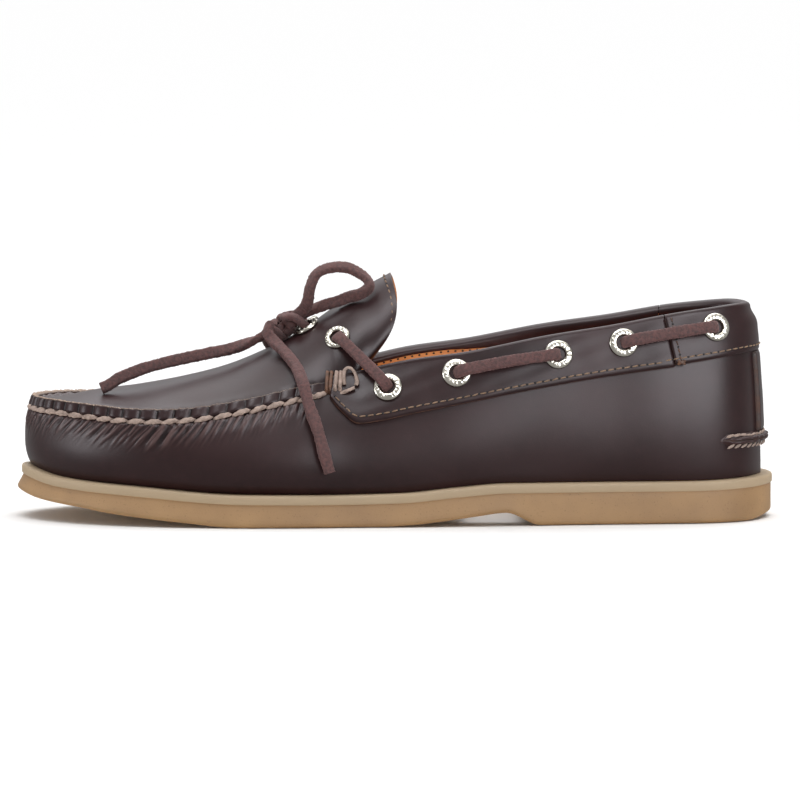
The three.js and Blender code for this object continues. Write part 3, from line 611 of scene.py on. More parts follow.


# Waxed leather: cloudy dark tone, paler where it is pulled, which also paints a highlight on the crease ridges; painted
# shade near black in folds and grooves; raw where it is cut
def makeLeather(look):
    material, tree, surface = newMaterial("waxedLeather", Specular_IOR_Level=look["gloss"])
    link = tree.links.new
    tone = useGroup(tree, toneGroup, Dark=look["dark"], Light=look["light"], Scale=22.0, Detail=4.0)
    fine = useGroup(tree, toneGroup, Dark=look["dark"], Light=look["light"], Scale=260.0, Detail=3.0)
    share = rangeOf(tree, fine.outputs["Value"], 0.1, 0.4)
    cloudy = mixColour(tree, share, tone.outputs["Color"], fine.outputs["Color"])
    # pulled leather is paler on the crease ridges; this colour also paints their highlight
    pulledWithHighlight = useGroup(tree, brokenMaskGroup, Scale=500.0, Break=0.8)
    link(maskNamed(tree, "crease"), pulledWithHighlight.inputs["Mask"])
    toneWithPaintedLight = mixColour(tree, pulledWithHighlight.outputs["Mask"], cloudy, look["pulledWithHighlight"])
    # painted shade: near black where the deep mask marks folds, grooves and crease troughs
    toneWithPaintedLight = mixColour(tree, maskNamed(tree, "deep"), toneWithPaintedLight, look["deep"])
    cut = useGroup(tree, brokenMaskGroup, Scale=700.0, Break=1.3)
    link(maskNamed(tree, "raw"), cut.inputs["Mask"])
    link(mixColour(tree, cut.outputs["Mask"], toneWithPaintedLight, look["raw"]), surface.inputs["Base Color"])
    gloss = rangeOf(tree, tone.outputs["Value"], *look["roughness"])
    rough = addNode(tree, "ShaderNodeMix", data_type="FLOAT")
    link(cut.outputs["Mask"], rough.inputs[0])
    link(gloss, rough.inputs[2])
    rough.inputs[3].default_value = look["cutRoughness"]
    link(rough.outputs[0], surface.inputs["Roughness"])
    grain = useGroup(tree, grainGroup, Cells=1700.0, Cloud=350.0, Depth=0.00006, Strength=0.16)
    link(grain.outputs["Normal"], surface.inputs["Normal"])
    return material


def makePlain(name, dark, light, roughness, scale, cells, depth, strength, **shader):
    material, tree, surface = newMaterial(name, **shader)
    tone = useGroup(tree, toneGroup, Dark=dark, Light=light, Scale=scale, Detail=4.0)
    tree.links.new(tone.outputs["Color"], surface.inputs["Base Color"])
    tree.links.new(rangeOf(tree, tone.outputs["Value"], *roughness), surface.inputs["Roughness"])
    grain = useGroup(tree, grainGroup, Cells=cells, Cloud=cells / 3, Depth=depth, Strength=strength)
    tree.links.new(grain.outputs["Normal"], surface.inputs["Normal"])
    return material


rubberLook = {
    "dark": (0.325, 0.185, 0.08, 1), "light": (0.45, 0.268, 0.12, 1), "rim": (0.45, 0.335, 0.21, 1),
    "speck": (0.2, 0.11, 0.05, 1),
}


# Pale rubber: cloudy side with fine specks, and a lighter rim
def makeRubber(look):
    material, tree, surface = newMaterial("soleRubber", Specular_IOR_Level=0.4)
    link = tree.links.new
    tone = useGroup(
        tree, toneGroup, Dark=look["dark"], Light=look["light"], Scale=45.0, Detail=5.0, Low=0.25, High=0.75,
    )
    speck = useGroup(tree, toneGroup, Scale=1400.0, Detail=2.0, Low=0.63, High=0.72)
    share = rangeOf(tree, speck.outputs["Value"], 0, 0.45)
    side = mixColour(tree, share, tone.outputs["Color"], look["speck"])
    link(mixColour(tree, maskNamed(tree, "rim"), side, look["rim"]), surface.inputs["Base Color"])
    link(rangeOf(tree, tone.outputs["Value"], 0.55, 0.72), surface.inputs["Roughness"])
    grain = useGroup(tree, grainGroup, Cells=1300.0, Cloud=300.0, Depth=0.00008, Strength=0.3)
    link(grain.outputs["Normal"], surface.inputs["Normal"])
    return material


leather = makeLeather(leatherLook)
rubber = makeRubber(rubberLook)
# Colours from dark to light, roughness, size of the clouds, size, depth and strength of the grain
liningLeather = makePlain(
    "liningLeather", (0.5, 0.18, 0.045, 1), (0.72, 0.31, 0.09, 1), (0.55, 0.7), 60.0, 1500.0, 0.00006, 0.3,
)
rawEdge = makePlain(
    "rawEdge", (0.08, 0.03, 0.014, 1), (0.2, 0.085, 0.035, 1), (0.75, 0.9), 300.0, 1800.0, 0.0001, 0.5,
)
waxedEdge = makePlain(
    "waxedEdge", (0.03, 0.011, 0.007, 1), (0.1, 0.038, 0.02, 1), (0.6, 0.8), 300.0, 1800.0, 0.0001, 0.5,
)
creamThread = makePlain(
    "creamThread", (0.24, 0.165, 0.13, 1), (0.48, 0.355, 0.295, 1), (0.6, 0.8), 500.0, 2600.0, 0.0001, 0.5,
)
tanThread = makePlain(
    "tanThread", (0.16, 0.085, 0.045, 1), (0.34, 0.21, 0.12, 1), (0.6, 0.8), 700.0, 2600.0, 0.0001, 0.5,
)
rustThread = makePlain(
    "rustThread", (0.07, 0.028, 0.014, 1), (0.2, 0.085, 0.038, 1), (0.6, 0.8), 500.0, 2600.0, 0.0001, 0.5,
)
# needle holes: near black discs that paint the shade inside a hole
holeShade = makePlain(
    "needleHoleShade", (0.004, 0.002, 0.002, 1), (0.012, 0.006, 0.005, 1), (0.8, 0.9), 300.0, 900.0, 0.00005, 0.2,
)
suedeLace = makePlain(
    "laceLeather", (0.058, 0.022, 0.0205, 1), (0.148, 0.06, 0.055, 1), (0.8, 0.95), 900.0, 2200.0, 0.00018,
    0.9, Sheen_Weight=0.3, Sheen_Roughness=0.4, Sheen_Tint=(0.75, 0.5, 0.48, 1),
)
nickel = makePlain(
    "eyeletNickel", (0.4, 0.375, 0.32, 1), (0.55, 0.52, 0.46, 1), (0.18, 0.3), 120.0, 900.0, 0.00003, 0.15,
    Metallic=1.0,
)
print("materials made")

# Lace: the free cords first
laceLook = {"width": 4.5, "thickness": 3.0, "fuzz": 0.13}
sideEnd = np.array([
    (-48.9, -9.6, 76.6), (-49.6, -12, 72.9), (-47.4, -14.6, 70), (-42.7, -22.2, 66.1),
    (-38.7, -29.4, 61.8), (-36.8, -34.9, 58.6), (-35.2, -40.3, 54.6), (-33, -44.6, 47.1),
    (-30.6, -47.9, 40.7), (-28.6, -50.3, 34.5), (-26.5, -52, 26.9), (-24.9, -52.1, 21.5),
])
toeEnd = np.array([
    (-51.2, -3, 71.2), (-57, -3.5, 68.6), (-64, -4.5, 66.2), (-72.6, -5.5, 64.5), (-81.2, -6.5, 62.8),
    (-90, -7.5, 60.9), (-98.4, -8.5, 58.7), (-104, -9, 56.6), (-108.7, -9.5, 54.6), (-112.4, -10, 52.2),
    (-115.4, -10.3, 50.9),
])
backLoop = np.array([
    (-39.5, -3.8, 78.4), (-35.6, -5, 81.6), (-33.9, -9.6, 85.4), (-33, -12, 90.6), (-30.4, -11.8, 96.2),
    (-24.9, -11, 98.6), (-17.8, -10.5, 98.4), (-11.4, -11.5, 94.8), (-9.6, -13.4, 91.4),
    (-13, -14, 88.6), (-17.8, -11, 87), (-22.5, -8.7, 85.1), (-27.3, -6.6, 83.6), (-32.8, -3.6, 81.2),
    (-38.5, -2.2, 78),
])
innerLoop = np.array([
    (-44.6, 2.1, 77), (-43.4, 9.6, 77.6), (-40.8, 17, 75), (-38, 24.4, 70.6), (-35.6, 31, 65),
    (-34.4, 36.6, 59.6), (-36.4, 41, 55.6), (-41.4, 41.6, 54.6), (-45.4, 37, 58.4), (-47.6, 30, 62.6),
    (-49.4, 21.6, 66.2), (-50.4, 13, 69), (-50, 5.4, 71.6),
])
# The way the flat side looks at each point of a route
sideFace = np.array([
    (-1, -0.4, 0.2), (-0.8, -0.9, 0.3), (-0.2, -1, 0.8), (0.2, -0.8, 1), (0.3, -0.8, 0.8),
    (0.3, -0.9, 0.6), (0.3, -1, 0.4), (0.35, -1, 0.3), (0.4, -1, 0.25), (0.4, -1, 0.2), (0.4, -1, 0.15),
    (0.4, -1, 0.1),
])
toeFace = np.array([
    (0, 0.6, 1), (0, -0.3, 1), (0, -1, 0.7), (0, -1, 0.35), (0, -1, 0.25), (0, -1, 0.25), (0, -1, 0.3),
    (0, -1, 0.35), (0, -1, 0.35), (0, -1, 0.4), (0, -1, 0.4),
])
backFace = np.array([
    (0.2, -1, 0.4), (0, -1, 0.3), (-0.6, -1, 0), (-0.9, -0.6, 0), (-0.7, -0.6, 0.6), (0, -0.6, 1),
    (0.3, -0.7, 0.8), (0.9, -0.5, 0.4), (0.9, -0.7, -0.2), (0.2, -1, -0.4), (0.2, -1, 0),
    (0.2, -1, 0.3), (0.1, -0.9, 0.6), (0, -0.6, 1), (0, -0.4, 1),
])
innerFace = np.array([
    (0, 0, 1), (0, 0.2, 1), (0, 0.3, 1), (0.2, 0.5, 1), (0.3, 0.8, 0.8), (0.2, 1, 0.4), (-0.2, 1, 0.2),
    (-0.3, 1, 0.2), (-0.4, 0.8, 0.6), (-0.3, 0.5, 1), (-0.2, 0.4, 1), (-0.1, 0.3, 1), (0, 0.2, 1),
])


def makeFreeLace(name, node, route, face, seed):
    centre, grid = thong(route, face, laceLook["width"], laceLook["thickness"], fuzz=laceLook["fuzz"], seed=seed)
    piece = addThong(name, [grid], suedeLace)
    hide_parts(node)
    return piece


makeFreeLace("lace_side_end", "lace_end_side", sideEnd, sideFace, 11)
makeFreeLace("lace_toe_end", "lace_end_toe", toeEnd, toeFace, 12)
makeFreeLace("lace_back_loop", "lace_loop_back", backLoop, backFace, 13)
makeFreeLace("lace_inner_loop", "lace_loop_inner", innerLoop, innerFace, 14)
print("free lace made")

# Outsole
soleLook = {"rim": 3.4, "step": 0.5, "round": 1.6, "columnsPerSection": 18}


def makeOutsole(look):
    count = ringCount * look["columnsPerSection"]
    q = np.arange(count) / look["columnsPerSection"]
    x = onRing(q)[:, 0]
    flare, low, high = flareAt(x), soleBottom(x), soleTop(x)
    r, step, rim = look["round"], look["step"], look["rim"]
    fresh = [(3.5, low), (r, low)]
    for turn in (0.3, 0.6, 0.85, 1):
        angle = turn * math.pi / 2
        fresh.append((r - r * math.sin(angle), low + r - r * math.cos(angle)))
    side = [(flare * t, low + r + (high - rim - step - 0.6 - low - r) * t) for t in (0.25, 0.5, 0.75, 1)]
    notch = [
        (flare + 0.12, high - rim - step - 0.2), (flare + 0.3, high - rim - step + 0.1), (flare - step + 0.15, high - rim - 0.12),
        (flare - step, high - rim + 0.2), (flare - step, high - 1.3), (flare - step + 0.05, high - 0.8),
        (flare - step + 0.3, high - 0.3), (flare - step + 0.9, high), (flare + 2, high), (flare + last["soleMargin"], high),
        (flare + last["soleMargin"] + 2.5, high),
    ]
    profile = fresh + side + notch
    rimMask = np.array([0.0] * (len(fresh) + len(side) + 2) + [1.0] * (len(notch) - 2))
    grid = np.stack([
        np.concatenate([soleEdge(q, np.broadcast_to(inset, q.shape)), (np.broadcast_to(z, q.shape))[:, None]], -1)
        for inset, z in profile
    ], 1)
    edge = waves(x, grid[:, 0, 1], 60, seed=8) * 0.12
    grid[:, 6:10, 2] += 0.5 * edge[:, None]
    levels = grid.shape[1]
    faces = gridFaces(count, levels, closedRows=True, flip=True).tolist()
    half = count // 2
    i = np.arange(half)
    j = -i % count
    j2 = (-i - 1) % count
    bottom = np.column_stack([i * levels, (i + 1) * levels, j2 * levels, j * levels])
    top = np.column_stack([i, i + 1, j2, j]) * levels + levels - 1
    faces += bottom[1:-1].tolist() + top[1:-1, ::-1].tolist()
    faces += [[0, levels, (count - 1) * levels], [(half - 1) * levels, half * levels, (half + 1) * levels]]
    masks = {"rim": np.broadcast_to(rimMask, grid.shape[:2])}
    piece = addMesh("sole", grid.reshape(-1, 3), faces, rubber, masks)
    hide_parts("outsole")
    return piece


makeOutsole(soleLook)
print("outsole made")

# Toe seam: places of the hand stitches along the outer side, in mm from the middle of the shoe
stitchPlaces = np.array([
    -140.6, -135.1, -130.2, -124.7, -119.1, -112.9, -107.3, -100.6, -93.8, -87.1, -80.9, -74, -66.6,
    -59.4, -52.8, -46.1, -39.6, -34.2, -29.2,
])
# Main creases below the seam: place at the stitches, length, lean back per mm down, depth, width
creaseRows = np.array([
    (-139.3, 4.5, 0.4, 0.3, 0.7), (-137.2, 7, 0.38, 0.45, 0.9), (-131.4, 8, 0.78, 0.4, 0.8),
    (-128.1, 9, 0.9, 0.45, 0.9), (-123.9, 9, 0.8, 0.4, 0.8), (-119.7, 9, 1, 0.5, 0.9),
    (-116.4, 8, 1, 0.35, 0.7), (-110.6, 9.5, 1, 0.5, 1), (-107.3, 8, 0.78, 0.35, 0.7),
    (-102.3, 11, 1, 0.5, 0.9), (-99.8, 9, 1, 0.4, 0.8), (-94.8, 8, 1, 0.4, 0.8),
    (-90.6, 11, 0.67, 0.5, 0.9), (-86.5, 12, 0.42, 0.7, 1), (-84, 13, 0.8, 0.45, 0.9),
    (-80.6, 9, 0.7, 0.4, 0.8), (-77.3, 10, 0.73, 0.5, 0.9), (-74, 11, 0.75, 0.4, 0.8),
    (-71.5, 10, 0.64, 0.45, 0.9), (-69, 8, 0.44, 0.35, 0.8), (-64, 9, 0.5, 0.5, 0.9),
    (-60.7, 9, 0.5, 0.35, 0.8), (-57.3, 9, 0.6, 0.45, 0.9), (-53.2, 9, 0.5, 0.45, 0.9),
    (-49.9, 8, 0.55, 0.35, 0.8), (-44.9, 10, 0.36, 0.5, 1), (-42.8, 9, 0.25, 0.6, 1),
    (-39, 7, 0.25, 0.3, 0.8), (-35.7, 8, 0.22, 0.4, 1),
])
upperLook = {
    "toeColumn": 0.45, "sideColumn": 2.2, "ridge": 0.95, "box": 1.9, "groove": 0.9, "puff": 0.35,
    "fineCreases": 560, "fineDepth": 0.24, "seamStart": 9.45,
}


def stitchHeight(q):
    return topHeight(q) - last["seamHeight"]


def seamLine(q, offset):
    return wallOffset(q, heightShare(q, stitchHeight(q)), np.broadcast_to(offset, np.shape(q)))


# Run along the seam in mm, 0 at the toe's tip, growing towards the outer side's heel
denseQ = np.linspace(5, 29, 4801)
denseLine = seamLine(denseQ, 0.0)
denseRun = np.concatenate([[0], np.cumsum(np.linalg.norm(np.diff(denseLine, axis=0), axis=1))])
denseRun = np.interp(toeSection, denseQ, denseRun) - denseRun


def runAt(q):
    return np.interp(q, denseQ, denseRun)


def sectionOfRun(run):
    return np.interp(-np.asarray(run), -denseRun, denseQ)


outerStitchRun = runAt(sectionAt(stitchPlaces, stitchHeight))
outerStitchRun = outerStitchRun[np.argsort(outerStitchRun)]
pitch = 6.3
innerEnd = runAt(np.array(ringCount - upperLook["seamStart"] - 0.1))
outerStitchRun = outerStitchRun[2:]
moreRuns = np.arange(outerStitchRun[0] - pitch, innerEnd, -pitch)[::-1]
stitchRun = np.concatenate([moreRuns, outerStitchRun])


def seamFade(q):
    return smooth((toeSection - 9.55 - np.abs(q - toeSection)) / 0.3)


# Phase along the stitches: whole numbers at the stitches' middles
def stitchPhase(run):
    return np.interp(run, stitchRun, np.arange(len(stitchRun)))


def creaseField(run, down):
    total = np.zeros(np.broadcast(run, down).shape)
    outer = creaseRows.copy()
    outer[:, 0] = runAt(sectionAt(outer[:, 0], stitchHeight))
    draw = np.random.default_rng(21)
    inner = creaseRows.copy()
    inner[:, 0] = -outer[:, 0] * 1.02 + draw.normal(0, 1.5, len(inner))
    inner[:, 2] *= -1
    inner[:, 1:2] *= draw.uniform(0.7, 1.1, (len(inner), 1))
    tip = np.array([(9, 6, 0.3, 0.4, 0.9), (3, 7, 0.1, 0.45, 1), (-4, 6, -0.1, 0.4, 0.9), (-10, 7, -0.3, 0.45, 0.9)])
    count = upperLook["fineCreases"]
    fine = np.column_stack([
        draw.uniform(innerEnd, outerStitchRun[-1] - 3, count), draw.uniform(4, 14, count), np.zeros(count),
        draw.uniform(0.3, 1, count) * upperLook["fineDepth"], draw.uniform(0.3, 0.5, count),
    ])
    lean = np.interp(np.abs(fine[:, 0]), [0, 10, 40, 90, 130], [0, 0.4, 0.95, 0.7, 0.3])
    fine[:, 2] = np.sign(fine[:, 0]) * lean + draw.normal(0, 0.15, count)
    for place, length, leanBack, depth, width in np.vstack([outer, inner, tip, fine]):
        middle = place - leanBack * down
        reach = smooth(down / 1.2) * (1 - smooth((down - 0.35 * length) / (0.65 * length)))
        spread = width * (0.75 + 0.09 * np.clip(down, 0, 12))
        off = (run - middle) / spread
        total += 0.82 * depth * reach * (-np.exp(-(off**2)) + 0.55 * np.exp(-((np.abs(off) - 1.7) ** 2)))
    return total


def upperColumns(look):
    toe = np.arange(float(runAt(np.array(25.2))), float(runAt(np.array(8.8))), look["toeColumn"])
    toeQ = sectionOfRun(toe)[::-1]
    back = np.linspace(toeQ[-1], ringCount + toeQ[0], 170)[1:-1]
    return np.concatenate([toeQ, back])


# Scallops: the leather is pulled in at the stitches' line and stands up in boxes above it
def upperOffset(q, run, above, look):
    fade = seamFade(np.where(q > ringCount, q - ringCount, q))
    down = np.clip(-above, 0, 60)
    phase = stitchPhase(run)
    box = np.abs(np.sin(math.pi * (phase + 0.35 + 0.5))) ** 0.5
    line = -look["groove"] * hump(above, 0.75)
    boxes = np.interp(np.abs(run), [90, 130], [1, 0.45]) * smooth(above / 1.2) * (1 - 0.4 * smooth((above - 3.9) / 0.8))
    ridge = smooth(above / 0.9) * (look["ridge"] + look["box"] * boxes * (box - 0.75))
    # deep is painted shade: near black in the grooves between the boxes, under the stitch line and in the crease
    # troughs
    deep = fade * np.clip(smooth((0.6 - box) / 0.4) * boxes + 0.8 * hump(above - 0.1, 0.55), 0, 1)
    puff = look["puff"] * (np.abs(np.sin(math.pi * (phase + 0.5))) ** 0.7) * hump(down - 1.5, 1.5) * (above < 0)
    puff = puff + 0.5 * hump(down - 4, 4.5) * (above < 0)
    creases = creaseField(run, down) * (above < 0)
    return fade * (line + ridge + puff + creases), fade * creases, deep + fade * np.clip(-creases, 0, 0.8)


def makeUpper(look):
    q = upperColumns(look)
    run = runAt(q)
    isToe = (q <= 25.2) & (q >= 8.8)
    run = np.where(isToe, run, 0)
    rise = topHeight(q) - wallBottom(q)
    seam = last["seamHeight"]
    creaseZone = np.minimum(16, 0.6 * rise)
    low = np.linspace(0, 1, 18)[:-1]
    middle = np.linspace(0, 1, 30)[:-1] ** 0.85
    high = np.linspace(0, 1, 15)
    above = np.concatenate([
        (-(rise - seam))[:, None] + (rise - seam - creaseZone)[:, None] * low[None],
        -creaseZone[:, None] * (1 - middle)[None], np.broadcast_to(seam * high, (len(q), len(high))),
    ], 1)
    level = 1 + (above - seam) / rise[:, None]
    qGrid = np.broadcast_to(q[:, None], above.shape)
    offset, crease, deep = upperOffset(qGrid, run[:, None], above, look)
    sideWave = 0.22 * waves(wallPoint(qGrid, level)[..., 0], wallPoint(qGrid, level)[..., 2], 55, seed=31)
    offset = offset + sideWave * smooth(level / 0.15) * (1 - smooth((level - 0.8) / 0.15))
    outer = wallOffset(qGrid, level, offset)
    # over the top edge and down behind it, a thin raw edge with a slightly frayed line
    fray = rng.normal(0, 0.13, len(q)) * seamFade(q % ringCount)
    outer[:, -1, 2] += fray
    top = offset[:, -1]
    rim = [wallOffset(q, np.ones(len(q)), top + (-last["wall"] - top) * t) for t in (0.15, 0.5, 0.85, 1)]
    behind = [wallOffset(q, 1 - drop / rise, np.full(len(q), -last["wall"])) for drop in (1.2, 3.2)]
    lift = (0.18, 0.3, 0.18, 0)
    for one, up in zip(rim, lift):
        one[:, 2] += up + 0.8 * fray
    grid = np.concatenate([outer, np.stack(rim + behind, 1)], 1)
    count, levels = grid.shape[:2]
    raw = np.zeros((count, levels))
    raw[:, -7:-2] = (0.5, 1, 0.8, 0.35, 0.1)
    raw *= seamFade(q % ringCount)[:, None]
    # crease ridges get the paler pulled colour, which also paints their highlight
    mask = np.zeros((count, levels))
    mask[:, : crease.shape[1]] = np.clip(crease * 2.6, 0, 0.75)
    # painted shade for the folds, grooves and crease troughs
    dark = np.zeros((count, levels))
    dark[:, : deep.shape[1]] = np.clip(deep, 0, 1)
    faces = gridFaces(count, levels, closedRows=True, flip=True)
    piece = addMesh("upper_wall", grid.reshape(-1, 3), faces, leather, {"crease": mask, "raw": raw, "deep": dark})
    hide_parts("upper")
    return piece


makeUpper(upperLook)
print("upper made")


# Apron and tongue in one sheet, with the turned edge sewn to the ridge
apronLook = {"rows": 260, "columns": 170, "pucker": 0.28, "dent": 0.5, "turned": 2.0}


# How far each point lies from the sewn edge, and the stitches' phase there
def fromSeam(points):
    q = np.linspace(7.6, ringCount - 7.6, 900)
    line = sewnEdge(q)
    flat = points.reshape(-1, 3)
    away, nearest = np.empty(len(flat)), np.empty(len(flat), int)
    for start in range(0, len(flat), 4000):
        part = flat[start : start + 4000]
        gap = np.linalg.norm(part[:, None] - line[None], axis=2)
        nearest[start : start + 4000] = gap.argmin(1)
        away[start : start + 4000] = gap.min(1)
    return away.reshape(points.shape[:2]), stitchPhase(runAt(q[nearest])).reshape(points.shape[:2])


def makeApron(look):
    u = np.concatenate([np.linspace(0, 1, 30)[:-1] ** 1.3, np.linspace(1, apronLast, look["rows"] - 29)])
    s = np.linspace(0, 1, look["columns"] // 2 + 1)
    s = 1 - (1 - s) ** 1.5
    w = np.concatenate([-s[::-1], s[1:]])
    uGrid, wGrid = np.meshgrid(u, w, indexing="ij")
    points, normal = apronPoint(uGrid, wGrid), apronNormal(uGrid, wGrid)
    edge = 1 - np.abs(wGrid)
    isSewn = 1 - smooth((uGrid - sewnLast + 0.4) / 0.4)
    away, phase = fromSeam(points)
    pucker = look["pucker"] * np.cos(2 * math.pi * phase) * hump(away - 1.5, 3) * isSewn
    turned = (look["turned"] * hump(away, 1.7) + 0.35 * hump(away - 5, 3)) * isSewn
    dent = -look["dent"] * hump(uGrid - 9.05, 0.35) * smooth(np.abs(wGrid) / 0.3) * (wGrid < 0)
    soft = 0.25 * waves(points[..., 0], points[..., 1], 45, seed=44)
    offset = pucker + dent + soft * smooth(edge / 0.1)
    outer = points + normal * offset[..., None]
    outer[..., 2] += turned
    # rolled edge, then the flesh side
    thick = last["apron"]
    under = outer - normal * thick
    rows, columns = outer.shape[:2]
    allPoints = np.vstack([outer.reshape(-1, 3), under.reshape(-1, 3)])
    count = rows * columns
    faces = gridFaces(rows, columns, flip=False)
    back = gridFaces(rows, columns, start=count, flip=True)
    i = np.arange(rows - 1)
    j = np.arange(columns - 1)
    low, high = i * columns, i * columns + columns - 1
    tip = (rows - 1) * columns + j
    rims = np.vstack([
        np.column_stack([low, low + columns, low + columns + count, low + count]),
        np.column_stack([high + columns, high, high + count, high + columns + count]),
        np.column_stack([tip, tip + 1, tip + 1 + count, tip + count]),
    ])
    zones = np.concatenate([np.zeros(len(faces)), np.full(len(back), 1), np.full(len(rims), 2)])
    # the turned edge by the seam gets the paler pulled colour, which also paints its highlight
    crease = np.clip(0.45 * hump(away, 1.6) * isSewn, 0, 1)
    masks = {"crease": np.concatenate([crease.ravel(), np.zeros(count)]), "raw": np.zeros(2 * count)}
    piece = addMesh(
        "apron_and_tongue", allPoints, np.vstack([faces, back, rims]), [leather, liningLeather, rawEdge],
        masks, zones,
    )
    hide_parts("apron_tongue")
    return piece


makeApron(apronLook)
print("apron made")

# Collar: bands laid on the wall that turn over its top edge, the heel's piece, strap and seam
bandLook = {
    "front": 9.44, "back": 4.08, "slant": 0.2, "facing": [(-10, 22, 42, 60), (1.0, 1.3, 3.6, 5.2)], "fold": 1.1, "columnStep": 0.05, "gap": 0.4,
    "strapHalf": 0.93, "strapLow": 0.402, "seamLow": 0.346, "seamFront": 2.75, "seamHeight": 4.2,
}


def bandEdge(rows):
    return lambda x: last["collarHeight"] * tableHeight(rows, x / last["soleLength"])


# The turned-in leather is narrow beside the tongue and wider behind
def facingDepth(q):
    return np.interp(onRing(q)[..., 2], *bandLook["facing"])


# A patch on the wall from one height to another. fold turns it over the top edge, down to the facing
def makeBand(name, start, end, low, high, slant, offset, fold, nodes, look=bandLook, seed=5):
    columns = int(abs(end - start) / look["columnStep"]) + 2
    q0 = np.linspace(start, end, columns)
    share = np.linspace(0, 1, 26)
    near = np.linspace(0, 1, columns)
    lean = np.zeros(columns)
    lean += slant[0] * np.clip(1 - near / 0.12, 0, 1) + slant[1] * np.clip(1 - (1 - near) / 0.12, 0, 1)
    qGrid = q0[:, None] + lean[:, None] * (1 - share)[None, :]
    x = wallPoint(qGrid, 0.8)[..., 0]
    bottom = heightShare(qGrid, low(x))
    top = heightShare(qGrid, high(x)) if high else np.ones_like(qGrid)
    v = bottom + (top - bottom) * share[None, :]
    full = last["clearance"] + offset
    edge = np.minimum(share, 1 if high is None else 1 - share) * 18
    lift = full - 0.45 * hump(edge, 0.5) + 0.05 * waves(x, share * 30 + 0 * x, 14, seed=seed)
    outer = wallOffset(qGrid, v, lift)
    rise = topHeight(q0) - wallBottom(q0)
    strips = [wallOffset(qGrid[:, 0], v[:, 0], np.zeros(columns)), outer]
    if fold:
        inside = -last["wall"] - look["fold"]
        middle, half = (full + inside) / 2, (full - inside) / 2
        turn = [
            wallOffset(q0, np.ones(columns), np.full(columns, middle + half * math.cos(a))) + np.array([0, 0, half * 0.75 * math.sin(a)])
            for a in np.linspace(0.3, math.pi, 9)
        ]
        deep = facingDepth(q0)
        facing = [wallOffset(q0, 1 - deep * t / rise, np.full(columns, inside)) for t in (0.35, 0.7, 1)]
        hem = wallOffset(q0, 1 - (deep + 0.2) / rise, np.full(columns, -last["wall"]))
        strips += [*turn, *facing, hem]
    else:
        strips.append(wallOffset(qGrid[:, -1], v[:, -1], np.zeros(columns)))
    grid = np.concatenate([s if s.ndim == 3 else s[:, None] for s in strips], 1)
    levels = grid.shape[1]
    faces = gridFaces(columns, levels, flip=True)
    zones = np.zeros((columns - 1, levels - 1))
    zones[:, 0] = 1
    if not fold:
        zones[:, -1] = 1
    # close the two ends down to the wall
    ends = []
    points = [grid.reshape(-1, 3)]
    base = columns * levels
    for k, column in enumerate((0, columns - 1)):
        seated = wallOffset(qGrid[column], v[column], np.zeros(26))
        points.append(seated)
        j = np.arange(25)
        a = column * levels + 1 + j
        b = base + k * 26 + j
        quads = np.column_stack([a, a + 1, b + 1, b])
        ends.append(quads if k == 0 else quads[:, ::-1])
    allFaces = np.vstack([faces, *ends])
    allZones = np.concatenate([zones.ravel(), np.ones(50)])
    total = np.vstack(points)
    empty = np.zeros(len(total))
    piece = addMesh(name, total, allFaces, [leather, waxedEdge], {"crease": empty, "raw": empty}, allZones)
    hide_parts(*nodes)
    return piece


bandBack, bandFront, slant = bandLook["back"], bandLook["front"], bandLook["slant"]
heelEnd = bandBack - bandLook["gap"] / ((0.359 - 0.285) * last["soleLength"])
makeBand("collar_outer", bandBack, bandFront, bandEdge(bandLow), None, (-slant, 0), last["band"], True, ["collar_band_outer"])
makeBand(
    "collar_inner", ringCount - bandFront, ringCount - bandBack, bandEdge(bandLow), None, (0, slant), last["band"], True,
    ["collar_band_inner"], seed=6,
)
makeBand("collar_heel", -heelEnd, heelEnd, bandEdge(heelBandLow), None, (slant, -slant), last["band"], True, ["collar_band_heel"], seed=7)
strapHalf = bandLook["strapHalf"]
makeBand(
    "heel_strap", -strapHalf, strapHalf, lambda x: np.full(np.shape(x), bandLook["strapLow"] * last["collarHeight"]),
    lambda x: bandEdge(heelBandLow)(x) - bandLook["gap"], (0, 0), last["band"], False, ["back_strap"], seed=8,
)
print("collar made")


# Heel seam: two lips of leather pinched together, standing out with a dark waxed cut between them
def makeHeelSeam(look):
    half = look["seamFront"]
    columns = 240
    q = np.linspace(-half, half, columns)
    low, tall = look["seamLow"] * last["collarHeight"], look["seamHeight"]
    profile = np.array([
        (-0.6, 0.0), (0.2, 0.5), (0.7, 1.3), (1.0, 2.3), (1.45, 2.95), (1.9, 2.9), (2.1, 2.2), (2.3, 2.2), (2.5, 2.95),
        (3.0, 2.9), (3.4, 2.3), (3.7, 1.3), (4.1, 0.5), (4.9, 0.0),
    ])
    taper = smooth((half - np.abs(q)) / 0.6) * 0.6 + 0.4
    end = smooth((half - np.abs(q)) / 0.3)
    taper = taper * end
    wobble = 0.34 * waves(q * 12, 0 * q, 5, seed=17)
    grid = np.stack([
        wallOffset(
            q, heightShare(q, low + 2.15 + (tall * (h / 4.2) - 2.15) * (0.3 + 0.7 * end) + 0.5 * wobble),
            0.35 * end - 0.15 + (out + wobble * (out > 1)) * taper,
        )
        for h, out in profile
    ], 1)
    faces = gridFaces(columns, len(profile), flip=True)
    zones = np.zeros((columns - 1, len(profile) - 1))
    zones[:, 5:8] = 1
    empty = np.zeros(columns * len(profile))
    piece = addMesh("heel_lips", grid.reshape(-1, 3), faces, [leather, waxedEdge], {"crease": empty + 0.15, "raw": empty}, zones.ravel())
    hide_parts("heel_seam")
    return piece


makeHeelSeam(bandLook)


